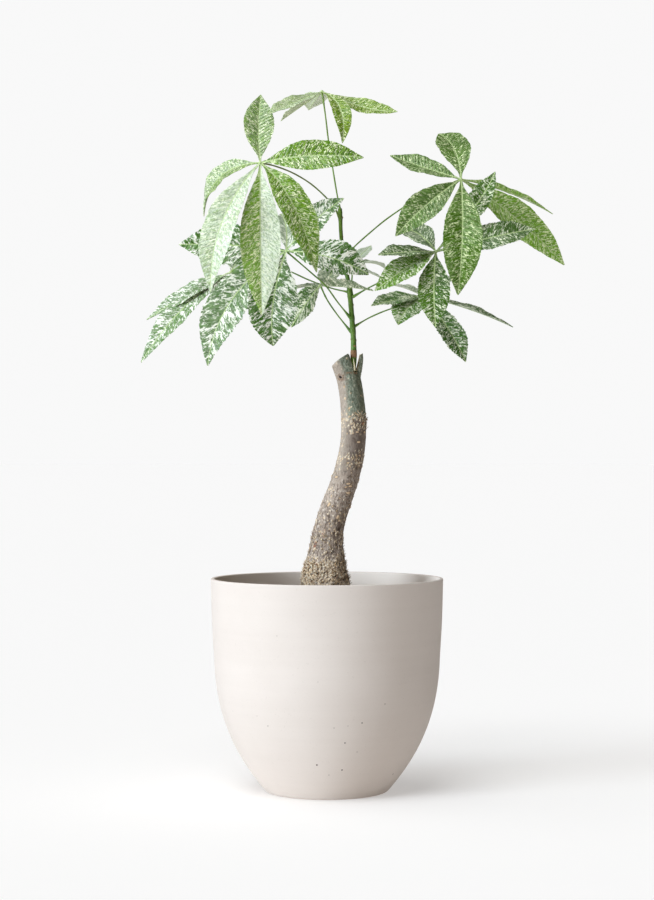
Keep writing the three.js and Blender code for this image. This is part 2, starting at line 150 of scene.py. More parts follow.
class Finish:
    """The nodes of a material, or of the world, which are built up by sums."""

    def __init__(self, owner):
        self.owner = owner
        owner.use_nodes = True
        self.tree = owner.node_tree
        self.tree.nodes.clear()

    def node(self, kind, settings=None, values=None, output=0):
        """One node: its settings first, then the values or links of its sockets. Gives one output."""
        made = self.tree.nodes.new(kind)
        for key, setting in (settings or {}).items():
            setattr(made, key, setting)
        for key, value in (values or {}).items():
            if isinstance(value, Link):
                self.tree.links.new(value.socket, made.inputs[key])
            else:
                made.inputs[key].default_value = value
        return None if output is None else Link(self, made.outputs[output])

    def mix(self, share, first, second):
        """A colour that goes from first to second. Each is a hex code, a colour or a link."""
        first, second = [hue(colour) if isinstance(colour, str) else colour for colour in (first, second)]
        return self.node("ShaderNodeMix", {"data_type": "RGBA"}, {0: share, 6: first, 7: second}, 2)

    def coats(self, base, *coats):
        """A base with coats of colour over it, each with the share that it covers."""
        for share, colour in coats:
            base = self.mix(share, base, colour)
        return base

    def read(self, name, output="Fac"):
        """What each point of the mesh carries under a name."""
        return self.node("ShaderNodeAttribute", {"attribute_name": name}, output=output)

    def place(self):
        """Where each point is on its object, in metres."""
        return self.node("ShaderNodeTexCoord", output="Object")

    def parts(self, vector):
        """The three parts of a vector."""
        split = self.node("ShaderNodeSeparateXYZ", values={0: vector})
        return [Link(self, socket) for socket in split.socket.node.outputs]

    def vector(self, x, y, z):
        return self.node("ShaderNodeCombineXYZ", values={0: x, 1: y, 2: z})

    def stretch(self, place, factors):
        """A place times a factor for each of its parts, so that a pattern gets long or flat."""
        return self.node("ShaderNodeVectorMath", {"operation": "MULTIPLY"}, {0: place, 1: factors})

    def far(self, place, middle):
        """How far a place is from a middle."""
        return self.node("ShaderNodeVectorMath", {"operation": "DISTANCE"}, {0: place, 1: middle}, output=1)

    def noise(self, place, scale, detail=2.0, roughness=0.5, distortion=0.0):
        return self.node("ShaderNodeTexNoise", values={
            "Vector": place, "Scale": scale, "Detail": detail, "Roughness": roughness,
            "Distortion": distortion})

    def cells(self, place, scale, feature="F1", output="Distance"):
        return self.node("ShaderNodeTexVoronoi", {"feature": feature},
                         {"Vector": place, "Scale": scale}, output)

    def bump(self, height, distance):
        """A normal from a height. distance is the height's full size in metres."""
        return self.node("ShaderNodeBump", values={"Height": height, "Distance": distance, "Strength": 1.0})

    def done(self, values):
        """Closes a material with a Principled shader."""
        shader = self.node("ShaderNodeBsdfPrincipled", values=values)
        self.node("ShaderNodeOutputMaterial", values={"Surface": shader}, output=None)
        return self.owner


def finish(name):
    """An empty material, ready for its sum."""
    return Finish(bpy.data.materials.new(name))


print("white is", hue("#ffffff")[:3])

# %% [markdown]
# ## Light
# The photograph has a big soft lamp at the left, as low as the planter, a weaker one high in front, and a
# little light overhead. So the planter is dark on its right, while its shadow on the floor is short. Suns
# with wide discs give the same soft shadows and light the floor evenly to the horizon, where area lamps
# would fade.

# %% The lamps
SUNS = [    # direction towards the lamp, strength, width of its disc in degrees, colour
    ((-0.87, -0.50, 0.04), 3.9, 30, (0.86, 1.00, 1.14)),
    ((-0.26, -0.48, 0.92), 1.65, 36, (0.95, 1.0, 1.05)),
    ((-0.20, 0.10, 1.00), 0.6, 30, (1.0, 1.0, 1.0)),
]


def sun(number, direction, strength, width, colour):
    """A lamp far away, whose light comes from a direction."""
    lamp = bpy.data.lights.new(f"sun_{number}", "SUN")
    lamp.energy = strength
    lamp.angle = math.radians(width)
    lamp.color = colour
    holder = bpy.data.objects.new(lamp.name, lamp)
    holder.rotation_euler = Vector(direction).to_track_quat("Z", "Y").to_euler()
    scene.collection.objects.link(holder)


for number, settings in enumerate(SUNS):
    sun(number, *settings)
scene.view_settings.view_transform = "Standard"
print(len(SUNS), "suns")

# %% [markdown]
# ## The room
# The room around the plant is dim, and lighter at the ceiling, so that leaves aren't black where no lamp
# reaches. Only the camera sees it as white as the sweep behind the plant. A Light Path node tells the two
# kinds of ray apart.

# %% The room's light
BACKGROUND = 0.945      # radiance of the white sweep
ROOM = 0.01             # radiance of the dim room
WINDOW = 0.02           # what the room's lit left side adds
CEILING = 0.24          # what the room's ceiling adds
WINDOW_EDGE = (-0.1, -0.9)      # where the lit side starts and is full, as a part of the direction
CEILING_EDGE = (0.3, 0.9)       # the same for the ceiling
scene.world = bpy.data.worlds.new("studio")
room = Finish(scene.world)
right, _, up = room.parts(room.node("ShaderNodeTexCoord", output="Generated"))
glow = ROOM + right.step(*WINDOW_EDGE) * WINDOW + up.step(*CEILING_EDGE) * CEILING
lighting = room.node("ShaderNodeBackground", values={"Color": (1, 1, 1, 1), "Strength": glow})
seen = room.node("ShaderNodeBackground", values={"Color": (BACKGROUND, BACKGROUND, BACKGROUND, 1)})
camera_ray = room.node("ShaderNodeLightPath", output="Is Camera Ray")
choice = room.node("ShaderNodeMixShader", values={0: camera_ray, 1: lighting, 2: seen})
room.node("ShaderNodeOutputWorld", values={"Surface": choice}, output=None)
print("the camera sees a background of", BACKGROUND)

# %% [markdown]
# ## Floor
# The plant stands on plain white paper. The paper glows as if it was lit from behind, so that its shadows
# stay pale, and the plant gets part of that glow. How strong the glow must be is worked out from the
# light that falls on the floor: floor and background are then equally bright, and no horizon shows. The
# paper is tinted against the cool lamps, so that the shadow on it stays grey.

# %% The light that falls on the floor
FLOOR_SAMPLES = 4000    # directions over which the light is averaged


def step(values, low, high):
    """A soft step from 0 at low to 1 at high, also where high is the lower one."""
    t = np.clip((np.asarray(values, float) - low) / (high - low), 0, 1)
    return t * t * (3 - 2 * t)


def room_on_floor():
    """The mean radiance of the room, as the floor sees it."""
    draw = np.random.default_rng(1)
    up, turn = np.sqrt(draw.uniform(size=FLOOR_SAMPLES)), draw.uniform(0, 2 * math.pi, FLOOR_SAMPLES)
    right = np.sqrt(1 - up ** 2) * np.cos(turn)
    return float(np.mean(ROOM + step(right, *WINDOW_EDGE) * WINDOW + step(up, *CEILING_EDGE) * CEILING))


def lamp_on_floor(direction, width):
    """The share of a lamp's strength that falls on the floor, as a mean over its wide disc. The part of the
    disc that is below the horizon gives nothing."""
    draw = np.random.default_rng(2)
    off = math.radians(width / 2) * np.sqrt(draw.uniform(size=FLOOR_SAMPLES))
    turn = draw.uniform(0, 2 * math.pi, FLOOR_SAMPLES)
    height = Vector(direction).normalized().z
    across = np.sin(off) * np.cos(turn) * math.sqrt(1 - height ** 2)
    return float(np.mean(np.maximum(np.cos(off) * height + across, 0)) / np.mean(np.cos(off)))


def on_floor(channel):
    """What the lamps and the room send on to the floor, in one colour channel."""
    lamps = [strength / math.pi * lamp_on_floor(direction, width) * colour[channel]
             for direction, strength, width, colour in SUNS]
    return sum(lamps) + room_on_floor()


red_light, green_light, blue_light = [on_floor(channel) for channel in range(3)]
print("light on the floor", round(red_light, 3), round(green_light, 3), round(blue_light, 3))

# %% The floor
FLOOR_REACH = 60.0      # metres
FLOOR_ALBEDO = 0.64     # share of the light that the paper sends back
PLANT_SHARE = 0.68      # share of the paper's glow that reaches the plant
floor_colour = [FLOOR_ALBEDO * green_light / part for part in (red_light, green_light, blue_light)]
floor_glow = BACKGROUND - FLOOR_ALBEDO * green_light
paper = finish("floor_paper")
camera_ray = paper.node("ShaderNodeLightPath", output="Is Camera Ray")
glow_colour = paper.mix(camera_ray, (*[floor_glow * PLANT_SHARE] * 3, 1), (*[floor_glow] * 3, 1))
floor_paper = paper.done({
    "Base Color": (*floor_colour, 1), "Roughness": 1.0, "Specular IOR Level": 0.0,
    "Emission Color": glow_colour, "Emission Strength": 1.0})
floor_paper.cycles.emission_sampling = "NONE"
corners = [(x * FLOOR_REACH, y * FLOOR_REACH, 0) for x, y in [(-1, -1), (1, -1), (1, 1), (-1, 1)]]
floor_mesh = bpy.data.meshes.new("floor")
floor_mesh.from_pydata(corners, [], [(0, 1, 2, 3)])
floor_mesh.materials.append(floor_paper)
floor = bpy.data.objects.new("floor", floor_mesh)
scene.collection.objects.link(floor)
print("the floor glows", round(floor_glow, 3))

# %% [markdown]
# ## Meshes from numbers
# A grown thing has no straight edges to model by hand, so its points come from formulas, and they are
# gathered in a `Shell`. Each point can carry numbers of its own, such as how far it lies from a leaf's
# midrib. A material reads these numbers, which keeps its pattern in step with the shape.

# %% A shell of points, faces and what the points carry
def skin(grid):
    """Points and faces of a body skinned over rings of points, closed by a middle point at each end."""
    rows, sides = grid.shape[:2]
    ends = [grid[0].mean(axis=0), grid[-1].mean(axis=0)]
    points = np.concatenate([grid.reshape(-1, 3), ends])
    faces = []
    for i in range(rows - 1):
        for k in range(sides):
            a, b = i * sides + k, i * sides + (k + 1) % sides
            faces.append((a, b, b + sides, a + sides))
    last = (rows - 1) * sides
    for k in range(sides):
        after = (k + 1) % sides
        faces.append((rows * sides, after, k))
        faces.append((rows * sides + 1, last + k, last + after))
    return points, faces


class Shell:
    """Points in millimetres, faces between them, and the named numbers that each point carries."""

    def __init__(self, *carried):
        self.points, self.faces, self.count = [], [], 0
        self.fields = {key: [] for key in carried}

    def add(self, points, faces, **given):
        """Adds points and faces. A number that isn't given is 0, and a single one holds for every point."""
        points = np.asarray(points, float).reshape(-1, 3)
        for key, field in self.fields.items():
            values = np.asarray(given.get(key, 0.0), float)
            field.append(values if values.ndim else np.full(len(points), float(values)))
        self.faces += [[corner + self.count for corner in face] for face in faces]
        self.points.append(points)
        self.count += len(points)

    def body(self, grid, **given):
        """Adds a skinned body. Each number is single, or one for every point of the grid."""
        for key, values in given.items():
            values = np.broadcast_to(values, grid.shape[:2])
            given[key] = np.concatenate([values.ravel(), [values[0].mean(), values[-1].mean()]])
        self.add(*skin(grid), **given)

    def piece(self, name, material, slot, *nodes, crease=40):
        """The Blender object, which replaces these solids and rides on the one body."""
        mesh = bpy.data.meshes.new(name)
        mesh.from_pydata((np.concatenate(self.points) * MM).tolist(), [], self.faces)
        for key, values in self.fields.items():
            values = np.concatenate(values)
            kind, part = ("FLOAT_VECTOR", "vector") if values.ndim == 2 else ("FLOAT", "value")
            field = mesh.attributes.new(key, kind, "POINT").data
            field.foreach_set(part, values.astype(np.float32).ravel())
        mesh.shade_smooth()
        mesh.set_sharp_from_angle(angle=math.radians(crease))
        mesh.materials.append(material)
        thing = bpy.data.objects.new(name, mesh)
        scene.collection.objects.link(thing)
        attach(thing, "root")
        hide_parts(*nodes)
        print(name, len(mesh.vertices), "points")


print("a cube's worth of rings:", len(skin(np.zeros((2, 4, 3)))[1]), "faces")

# %% [markdown]
# ## Lines of growth
# Trunk, shoot and stalks follow smooth lines through a few points. A centripetal Catmull-Rom line passes
# through every point without loops, and it is the line that the solids follow. So a fine piece lies where
# its solid is.

# %% Smooth lines
FINE_STEPS = 1200       # points at which a line is measured


def smooth_line(knots, shares):
    """Points at shares of a smooth line, and its directions. Columns past the third of knots ride along."""
    knots = np.array(knots, float)
    padded = np.vstack([2 * knots[0] - knots[1], knots, 2 * knots[-1] - knots[-2]])
    place = np.clip(shares, 0, 1) * (len(knots) - 1)
    first = np.minimum(place.astype(int), len(knots) - 2)
    w = (place - first)[:, None]
    p = [padded[first + k] for k in range(4)]
    gaps = [np.sqrt(np.linalg.norm((p[k + 1] - p[k])[:, :3], axis=1))[:, None] for k in range(3)]

    def slope(k):
        """The line's slope at the k-th of the four knots around, over the middle gap."""
        before, after = gaps[k - 1], gaps[k]
        back, on, across = p[k] - p[k - 1], p[k + 1] - p[k], p[k + 1] - p[k - 1]
        return (back / before - across / (before + after) + on / after) * gaps[1]

    start, end = slope(1), slope(2)
    square = 3 * (p[2] - p[1]) - 2 * start - end
    cube = 2 * (p[1] - p[2]) + start + end
    points = p[1] + start * w + square * w ** 2 + cube * w ** 3
    tangents = (start + 2 * square * w + 3 * cube * w ** 2)[:, :3]
    return points, tangents / np.linalg.norm(tangents, axis=1)[:, None]


def unit(vectors):
    """Vectors of length 1 in the same directions."""
    vectors = np.asarray(vectors, float)
    return vectors / np.linalg.norm(vectors, axis=-1, keepdims=True)


def measured(knots):
    """Fine shares of a smooth line, its points there, and how long it is up to each of them."""
    shares = np.linspace(0, 1, FINE_STEPS)
    points = smooth_line(knots, shares)[0][:, :3]
    steps = np.linalg.norm(np.diff(points, axis=0), axis=1)
    return shares, points, np.concatenate([[0], np.cumsum(steps)])


def even_shares(knots, count):
    """Shares of a smooth line that lie evenly along its length, and that length."""
    shares, _, lengths = measured(knots)
    return np.interp(np.linspace(0, lengths[-1], count), lengths, shares), lengths[-1]


middle = smooth_line([[0, 0, 0, 1], [0, 0, 9, 1], [0, 0, 20, 1]], np.array([0.5]))[0]
print("halfway through 3 knots:", middle)

# %% [markdown]
# ## Tubes and lumps
# Stems are round tubes along such a line: at each step a ring of points is laid out at right angles to
# it, and carried on with the least turn, so that the tube doesn't twist. What grows is never smooth
# either, and a fractal noise of the place gives lumps that are the same on every run.

# %% Tubes, lumps and balls
def rough(points, size, seed=0.0, octaves=3):
    """A noise between about -1 and 1 at each point, with lumps of a size in millimetres."""
    flat = np.asarray(points, float).reshape(-1, 3) / size + seed
    values = [noise.fractal(p, 0.7, 2.0, octaves) for p in flat.tolist()]
    return np.array(values).reshape(np.shape(points)[:-1])


def tube(knots, count, sides, reach=lambda length, around: 1.0):
    """A round grid along a line of [x, y, z, radius]. reach scales the radius by length and angle."""
    shares, length = even_shares(knots, count)
    middles, tangents = smooth_line(knots, shares)
    around = np.linspace(0, 2 * math.pi, sides, endpoint=False)
    side, grid = np.array([1.0, 0.0, 0.0]), np.zeros((count, sides, 3))
    for i in range(count):
        side = side - tangents[i] * side.dot(tangents[i])
        side /= np.linalg.norm(side)
        up = np.cross(tangents[i], side)
        radius = middles[i, 3] * reach(length * i / (count - 1), around)
        x, y = np.cos(around) * radius, np.sin(around) * radius
        grid[i] = middles[i, :3] + np.outer(x, side) + np.outer(y, up)
    return grid


def ball(subdivisions):
    """Points and faces of a round ball with a radius of 1."""
    made = bmesh.new()
    bmesh.ops.create_icosphere(made, subdivisions=subdivisions, radius=1)
    points = np.array([v.co for v in made.verts])
    faces = [[v.index for v in face.verts] for face in made.faces]
    made.free()
    return points, faces


BALL_POINTS, BALL_FACES = ball(2)
print("a ball has", len(BALL_POINTS), "points")

# %% [markdown]
# ## Planter
# The planter is moulded fibre clay: a shell with one even wall, a small flat foot, a round belly and a
# thin rim with eased edges. A turned outline is the plain way to make it. The outline repeats the solid's
# Bezier belly, with many more steps, and rounds the foot and both edges of the rim.

# %% Curves for outlines
POT_HEIGHT, POT_BELLY_HEIGHT = 256, 160
POT_RIM, POT_BELLY, POT_FOOT = 140, 136, 73     # radii
POT_BULGE = [(106, 38), (134, 84)]      # the handles of the belly's curve: radius and height
POT_SHOULDER = (138.6, 205)             # radius and height between belly and rim
POT_WALL, POT_RIM_WALL, POT_FLOOR = 6.0, 4.6, 9.0   # thicknesses
POT_LIP = 1.0           # radius of the rim's two edges
LIP_STEPS = 6


def bezier(a, b, c, d, shares):
    """Points at shares of a Bezier curve from a to d, with its handles b and c."""
    t = np.asarray(shares)[:, None]
    corners = [np.array(point, float) for point in (a, b, c, d)]
    weights = [(1 - t) ** 3, 3 * t * (1 - t) ** 2, 3 * t ** 2 * (1 - t), t ** 3]
    return sum(weight * corner for weight, corner in zip(weights, corners))


def belly(wall, lift, shares):
    """The planter's belly as [radius, height], moved in by wall and, most at its foot, up by lift."""
    (low_radius, low), (high_radius, high) = POT_BULGE
    return bezier((POT_FOOT - wall, lift), (low_radius - wall, low + 0.7 * lift),
                  (high_radius - wall, high + 0.3 * lift), (POT_BELLY - wall, POT_BELLY_HEIGHT), shares)


def lip(radius, start, end):
    """A rounded edge of the rim round a middle at this radius, from one angle to another in degrees."""
    angles = np.radians(np.linspace(start, end, LIP_STEPS))
    height = POT_HEIGHT - POT_LIP
    return np.column_stack([radius + POT_LIP * np.cos(angles), height + POT_LIP * np.sin(angles)])


print("the belly starts at", belly(0, 0, [0])[0])

# %% The planter's outline
FOOT_EDGE = 0.03        # share of the belly that the rounded foot takes up
foot_round = bezier((POT_FOOT - 3, 0), (POT_FOOT - 1, 0), (POT_FOOT + 0.4, 0.2), belly(0, 0, [FOOT_EDGE])[0],
                    np.linspace(0, 0.9, 6))
upright = smooth_line([[POT_BELLY, 0, POT_BELLY_HEIGHT], [POT_SHOULDER[0], 0, POT_SHOULDER[1]],
                       [POT_RIM, 0, POT_HEIGHT - POT_LIP]], np.linspace(0.02, 1, 24))[0][:-1, [0, 2]]
outside = np.concatenate([foot_round, belly(0, 0, np.linspace(FOOT_EDGE, 1, 60)), upright])
mouth = POT_RIM - POT_RIM_WALL
rim_edges = [lip(POT_RIM - POT_LIP, 0, 90), lip(mouth + POT_LIP, 90, 180)]
inner_wall = np.linspace((mouth, POT_HEIGHT - POT_LIP), (POT_BELLY - POT_WALL, POT_BELLY_HEIGHT), 16)[1:-1]
inner_belly = belly(POT_WALL, POT_FLOOR, np.linspace(1, 0, 30))
pot_outline = np.concatenate([outside, *rim_edges, inner_wall, inner_belly])
print(len(pot_outline), "points in the outline, widest", round(pot_outline[:, 0].max(), 1), "mm")

# %% [markdown]
# ## Fibre clay
# The clay is matt, warm off-white, and finely grained, with faint level lines left from the mould. Three
# noises give its tone: a fine one for the grain, a broad one for clouds, and one that is pressed flat for
# the lines.

# %% The clay's grain
clay = finish("fibre_clay")
place = clay.place()
grain = clay.noise(place, 900, 3, 0.6)
cloud = clay.noise(place, 14, 3, 0.5)
lines = clay.noise(clay.stretch(place, (3, 3, 160)), 1.0, 2, 0.5)
flecks = clay.noise(place, 420, 2, 0.5).step(0.66, 0.72) * 0.16
tone = grain.step(0.3, 0.7) * 0.10 + cloud.step(0.3, 0.7) * 0.28 + lines.step(0.35, 0.65) * 0.09
print(len(clay.tree.nodes), "nodes so far")

# %% [markdown]
# ## Pinholes
# Where bubbles broke in the clay, it has a few brown pinholes, mostly low down. The largest are placed as
# seen, by their turn from the front and their height. Small ones all round come from a cell texture, of
# which only a few cells are kept: each cell has a colour of its own, and that colour serves as its draw.

# %% The clay's pinholes
PINHOLES = [    # degrees from the front towards the right, height, radius
    (-24.6, 197.1, 0.5), (-4.4, 145.3, 0.4), (30.5, 117.6, 0.7), (-33.0, 91.2, 0.7), (3.7, 91.5, 0.6),
    (11.0, 93.6, 0.5), (18.5, 96.6, 0.9), (10.0, 73.2, 1.0), (-6.3, 46.1, 1.2), (9.8, 39.6, 1.1),
    (1.3, 33.4, 0.6), (55.4, 27.7, 0.9), (-69.8, 46.5, 0.5), (-39.2, 102.0, 0.5), (17.7, 61.6, 0.6),
]
BUBBLES = 55            # cells to a metre
cell_draw = clay.parts(clay.cells(place, BUBBLES, output="Color"))[0]
low_down = clay.parts(place)[2].step(0.17, 0.06) * 0.7 + 0.3
pits = clay.cells(place, BUBBLES).step(0.030, 0.012) * cell_draw.step(0.90, 0.91) * low_down
for turn, height, radius in PINHOLES:
    angle = math.radians(turn)
    reach = float(np.interp(height, outside[:, 1], outside[:, 0]))
    middle = (reach * math.sin(angle) * MM, -reach * math.cos(angle) * MM, height * MM)
    pits = pits.most(clay.far(place, middle).step(radius * 1.05 * MM, radius * 0.5 * MM))
print(len(PINHOLES), "pinholes are placed")

# %% The clay's finish
clay_colour = clay.coats(
    clay.mix(tone, "#e1d5cb", "#d7cabf"),
    (flecks, "#b8aa9c"),
    # Painted light: the planter's inside is painted a lighter clay.
    (clay.read("inside"), "#fdefe2"),
    (pits * 0.95, "#4c2a14"))
relief = grain * 0.35 + lines * 0.15 - pits * 1.5
fibre_clay = clay.done({
    "Base Color": clay_colour, "Roughness": 0.82 + grain * 0.1, "Specular IOR Level": 0.25,
    "Normal": clay.bump(relief, 0.0004)})
print(len(clay.tree.nodes), "nodes in the clay")

# %% [markdown]
# ## The planter's body
# The outline is turned round the middle axis, in enough steps to look round. The inside of the planter
# carries a 1, where the clay is painted lighter than outside, as painted light in the shaded hollow. It
# starts at the middle of the rim's inner edge.

# %% The planter
POT_SIDES = 288


def turned(outline, sides):
    """A grid of rings from an outline of [radius, height]."""
    around = np.linspace(0, 2 * math.pi, sides, endpoint=False)
    radius, height = np.asarray(outline)[:, :1], np.asarray(outline)[:, 1:]
    return np.stack([radius * np.cos(around), radius * np.sin(around), height + 0 * around], axis=2)


first_inside = len(outside) + LIP_STEPS + LIP_STEPS // 2
pot = Shell("inside")
pot.body(turned(pot_outline, POT_SIDES), inside=(np.arange(len(pot_outline)) >= first_inside)[:, None])
pot.piece("planter", fibre_clay, "fibre_clay", "pot")

# %% [markdown]
# ## Potting soil
# From above one looks on to dark, crumbly potting mix. It is a turned body that fills the planter, with a
# lumpy top that rises a little to the trunk. The lumps are two noises of the place, laid on the level
# rings, and they fade out at the wall.

# %% The soil's body
SOIL_LEVEL, SOIL_MOUND, SOIL_MOUND_RADIUS = 226, 7, 50
SOIL_EDGE = 133.2
SOIL_GAP = 0.3          # between the soil and the planter
SOIL_SIDES, TOP_RINGS = 240, 90


def soil_top(x, y):
    """Height of the soil's surface."""
    far = np.hypot(x, y)
    places = np.stack([x, y, 0 * x], axis=-1)
    lumps = 1.5 * rough(places, 14, 3.1, 4) + 0.8 * rough(places, 4, 8.7, 3)
    mound = SOIL_MOUND * np.exp(-(far / SOIL_MOUND_RADIUS) ** 2)
    return SOIL_LEVEL + mound + lumps * step(SOIL_EDGE - far, -2, 4)


under = belly(POT_WALL + SOIL_GAP, POT_FLOOR + SOIL_GAP, np.linspace(0, 1, 12))
beside = np.linspace((POT_BELLY - POT_WALL - SOIL_GAP, 165), (SOIL_EDGE, SOIL_LEVEL - 3), 5)
top_radii = np.linspace(SOIL_EDGE, 3, TOP_RINGS)
level = np.column_stack([top_radii, 0 * top_radii + SOIL_LEVEL])
soil_grid = turned(np.concatenate([under, beside, level]), SOIL_SIDES)
surface = soil_grid[-TOP_RINGS:]
surface[:, :, 2] = soil_top(surface[:, :, 0], surface[:, :, 1])
soil = Shell("kind")
soil.body(soil_grid)
print("the soil's top is from", surface[:, :, 2].min().round(1), "to", surface[:, :, 2].max().round(1), "mm")

# %% [markdown]
# ## Crumbs
# Hundreds of crumbs, bark chips and pale grains of perlite lie in the soil. They are real geometry,
# because they cast the small shadows that make soil read as soil. Each is a ball that is made lumpy,
# stretched, turned and sunk in a little. A chip is long and flat. A drawn number says what each one is,
# and `kind` tells the material: 0 is soil, 0.25 a crumb, 0.75 a chip and 1 perlite.

# %% The crumbs
CRUMBS = 900
CRUMB_REACH = 128       # they lie within this radius
PERLITE_FROM, CHIPS_FROM = 0.80, 0.86   # of the draw: crumbs below, perlite between, chips above
draw = np.random.default_rng(11)
for number in range(CRUMBS):
    far, turn = CRUMB_REACH * math.sqrt(draw.uniform(0.03, 1)), draw.uniform(0, 2 * math.pi)
    sort = draw.uniform()
    size = draw.uniform(1.0, 2.6)
    stretch = np.array([1, draw.uniform(0.7, 1), draw.uniform(0.6, 0.9)])
    kind = 1.0 if sort > PERLITE_FROM else 0.25
    if sort > CHIPS_FROM:
        stretch = np.array([2.2, draw.uniform(0.7, 1.1), 0.35])
        kind = 0.75
    turned_by = np.linalg.qr(draw.normal(size=(3, 3)) * [1, 1, 0.35] + np.eye(3) * 0.5)[0]
    x, y = far * math.cos(turn), far * math.sin(turn)
    crumb = BALL_POINTS * (1 + 0.28 * rough(BALL_POINTS, 0.9, number * 1.7, 2))[:, None]
    crumb = (crumb * stretch * size) @ turned_by.T
    high = float(soil_top(np.array([x]), np.array([y]))[0]) + size * 0.25
    soil.add(crumb + [x, y, high], BALL_FACES, kind=kind)
print(CRUMBS, "crumbs")

# %% [markdown]
# ## The soil's finish
# Damp soil is nearly black-brown with lighter, drier patches. Chips are red-brown, and perlite is
# off-white. All of them are rough, and a fine bump breaks the light up.

# %% The soil's colours
earth = finish("potting_soil")
place = earth.place()
kind = earth.read("kind")
fine = earth.noise(place, 700, 4, 0.6)
patch = earth.noise(place, 60, 3, 0.5)
earth_colour = earth.coats(
    earth.mix(fine.step(0.35, 0.65), "#3a2a1d", "#5f4833"),
    (patch.step(0.4, 0.7) * 0.6, "#6b5440"),
    (kind.step(0.5, 0.7), earth.mix(fine.step(0.4, 0.6), "#6b4c34", "#8c6a4b")),
    (kind.step(0.85, 0.95), "#cfc8bb"))
potting_soil = earth.done({
    "Base Color": earth_colour, "Roughness": 0.95, "Specular IOR Level": 0.2,
    "Normal": earth.bump(fine, 0.0015)})
soil.piece("potting_mix", potting_soil, "potting_soil", "soil")

# %% [markdown]
# ## Trunk
# The trunk is one cutting. It flares where it meets the soil, bends twice, and ends in an oblique saw cut
# with a split on its right, from which the shoot grew. A round grid of points follows its line, with low
# ridges along it. Its stump goes on down in the soil, where nobody sees it, so the grid starts a little
# under the soil's top.

# %% The trunk's line
TRUNK_LINE = [  # x, z, radius, up the middle
    (-3, 150, 9), (-3, 164, 20), (-3, 186, 27), (-2.5, 212, 30.5), (-2, 236, 30), (-1.7, 250, 28),
    (-2.3, 264, 25.5), (-1, 284, 22.3), (1.2, 308, 18.7), (8, 336, 17.2), (15.8, 357, 16.6), (23.2, 379, 16),
    (29.3, 404, 15.6), (31.6, 424, 15.1), (31.9, 448, 15), (30, 473, 14.6), (26.3, 495, 14.4),
    (20.5, 512, 14.2), (12, 534, 14.2),
]
TRUNK_KNOTS = [(x, 0, z, r) for x, z, r in TRUNK_LINE]
BARK_RIDGE = 0.035      # height of the ridges, as a share of the radius
TRUNK_ROWS, TRUNK_SIDES = 440, 176


def trunk_at(shares, around):
    """Points of the smooth trunk at shares of its line, and their outward directions and middles."""
    middles, tangents = smooth_line(TRUNK_KNOTS, shares.ravel())
    side = np.column_stack([tangents[:, 2], 0 * tangents[:, 0], -tangents[:, 0]])
    turn = around.ravel()
    out = side * np.cos(turn)[:, None]
    out[:, 1] = np.sin(turn)
    ridges = 0.6 * np.sin(3 * turn + 9 * shares.ravel()) + 0.4 * np.sin(7 * turn - 31 * shares.ravel())
    radius = middles[:, 3] * (1 + BARK_RIDGE * (1 - 0.5 * shares.ravel()) * ridges)
    points = middles[:, :3] + out * radius[:, None]
    return [values.reshape(*shares.shape, -1) for values in (points, out, middles)]


around = np.linspace(0, 2 * math.pi, TRUNK_SIDES, endpoint=False)
print("the trunk's line is", round(measured(TRUNK_KNOTS)[2][-1]), "mm long")

# %% [markdown]
# ## Saw cut and split
# Each column of points is stopped where it meets the saw cut or the split. Both are one height over the
# ground plan, so the bark and the bare wood meet in a clean rim with no Boolean. The height is found by
# walking up each column in small steps, and by sharing out the step that goes through it.

# %% The grid up to the cut
CUT_POINT, CUT_NORMAL = (16, 0, 517.5), (-0.56, 0.18, 0.8)
SPLIT = [(24.5, 532), (33.5, 505), (40, 500)]   # x and z of the split's wall and floor
STUMP_TOP = 205         # the grid starts here, hidden in the soil


def wood_top(x, y):
    """Height of the bare wood: the saw cut, or the split where that is lower."""
    nx, ny, nz = CUT_NORMAL
    sawn = CUT_POINT[2] - (nx * (x - CUT_POINT[0]) + ny * (y - CUT_POINT[1])) / nz
    split = np.interp(x, [p[0] for p in SPLIT], [p[1] for p in SPLIT])
    return np.where(x < SPLIT[0][0], sawn, np.minimum(sawn, split))


scan = np.linspace(0.8, 1, 400)
high_part = trunk_at(*np.meshgrid(scan, around, indexing="ij"))[0]
above = high_part[:, :, 2] - wood_top(high_part[:, :, 0], high_part[:, :, 1])
first = np.argmax(above > 0, axis=0)
column = np.arange(TRUNK_SIDES)
share_over = above[first - 1, column] / (above[first - 1, column] - above[first, column])
cut_shares = scan[first - 1] + share_over * (scan[1] - scan[0])
fine, line_points, line_lengths = measured(TRUNK_KNOTS)
cut_lengths = np.interp(cut_shares, fine, line_lengths)
start_length = line_lengths[np.argmax(line_points[:, 2] > STUMP_TOP)]
trunk_lengths = start_length + np.linspace(0, 1, TRUNK_ROWS)[:, None] * (cut_lengths - start_length)
trunk_shares = np.interp(trunk_lengths, line_lengths, fine)
bare, outward, middles = trunk_at(trunk_shares, np.broadcast_to(around, trunk_shares.shape))
rim_heights = bare[-1, :, 2]
print("the rim of the cut is from", rim_heights.min().round(1), "to", rim_heights.max().round(1), "mm high")

# %% [markdown]
# ## Bark
# Low on the trunk the bark is old: scales with cracks between them and curled, tan flakes where it
# flares. It grows smoother upwards, with two tan bands, and near the top it is young and green-grey. The
# relief is a sum of cell and lump noises whose weights change with height. The same numbers then tell the
# material where a scale or a crack lies, so that colour and shape agree.

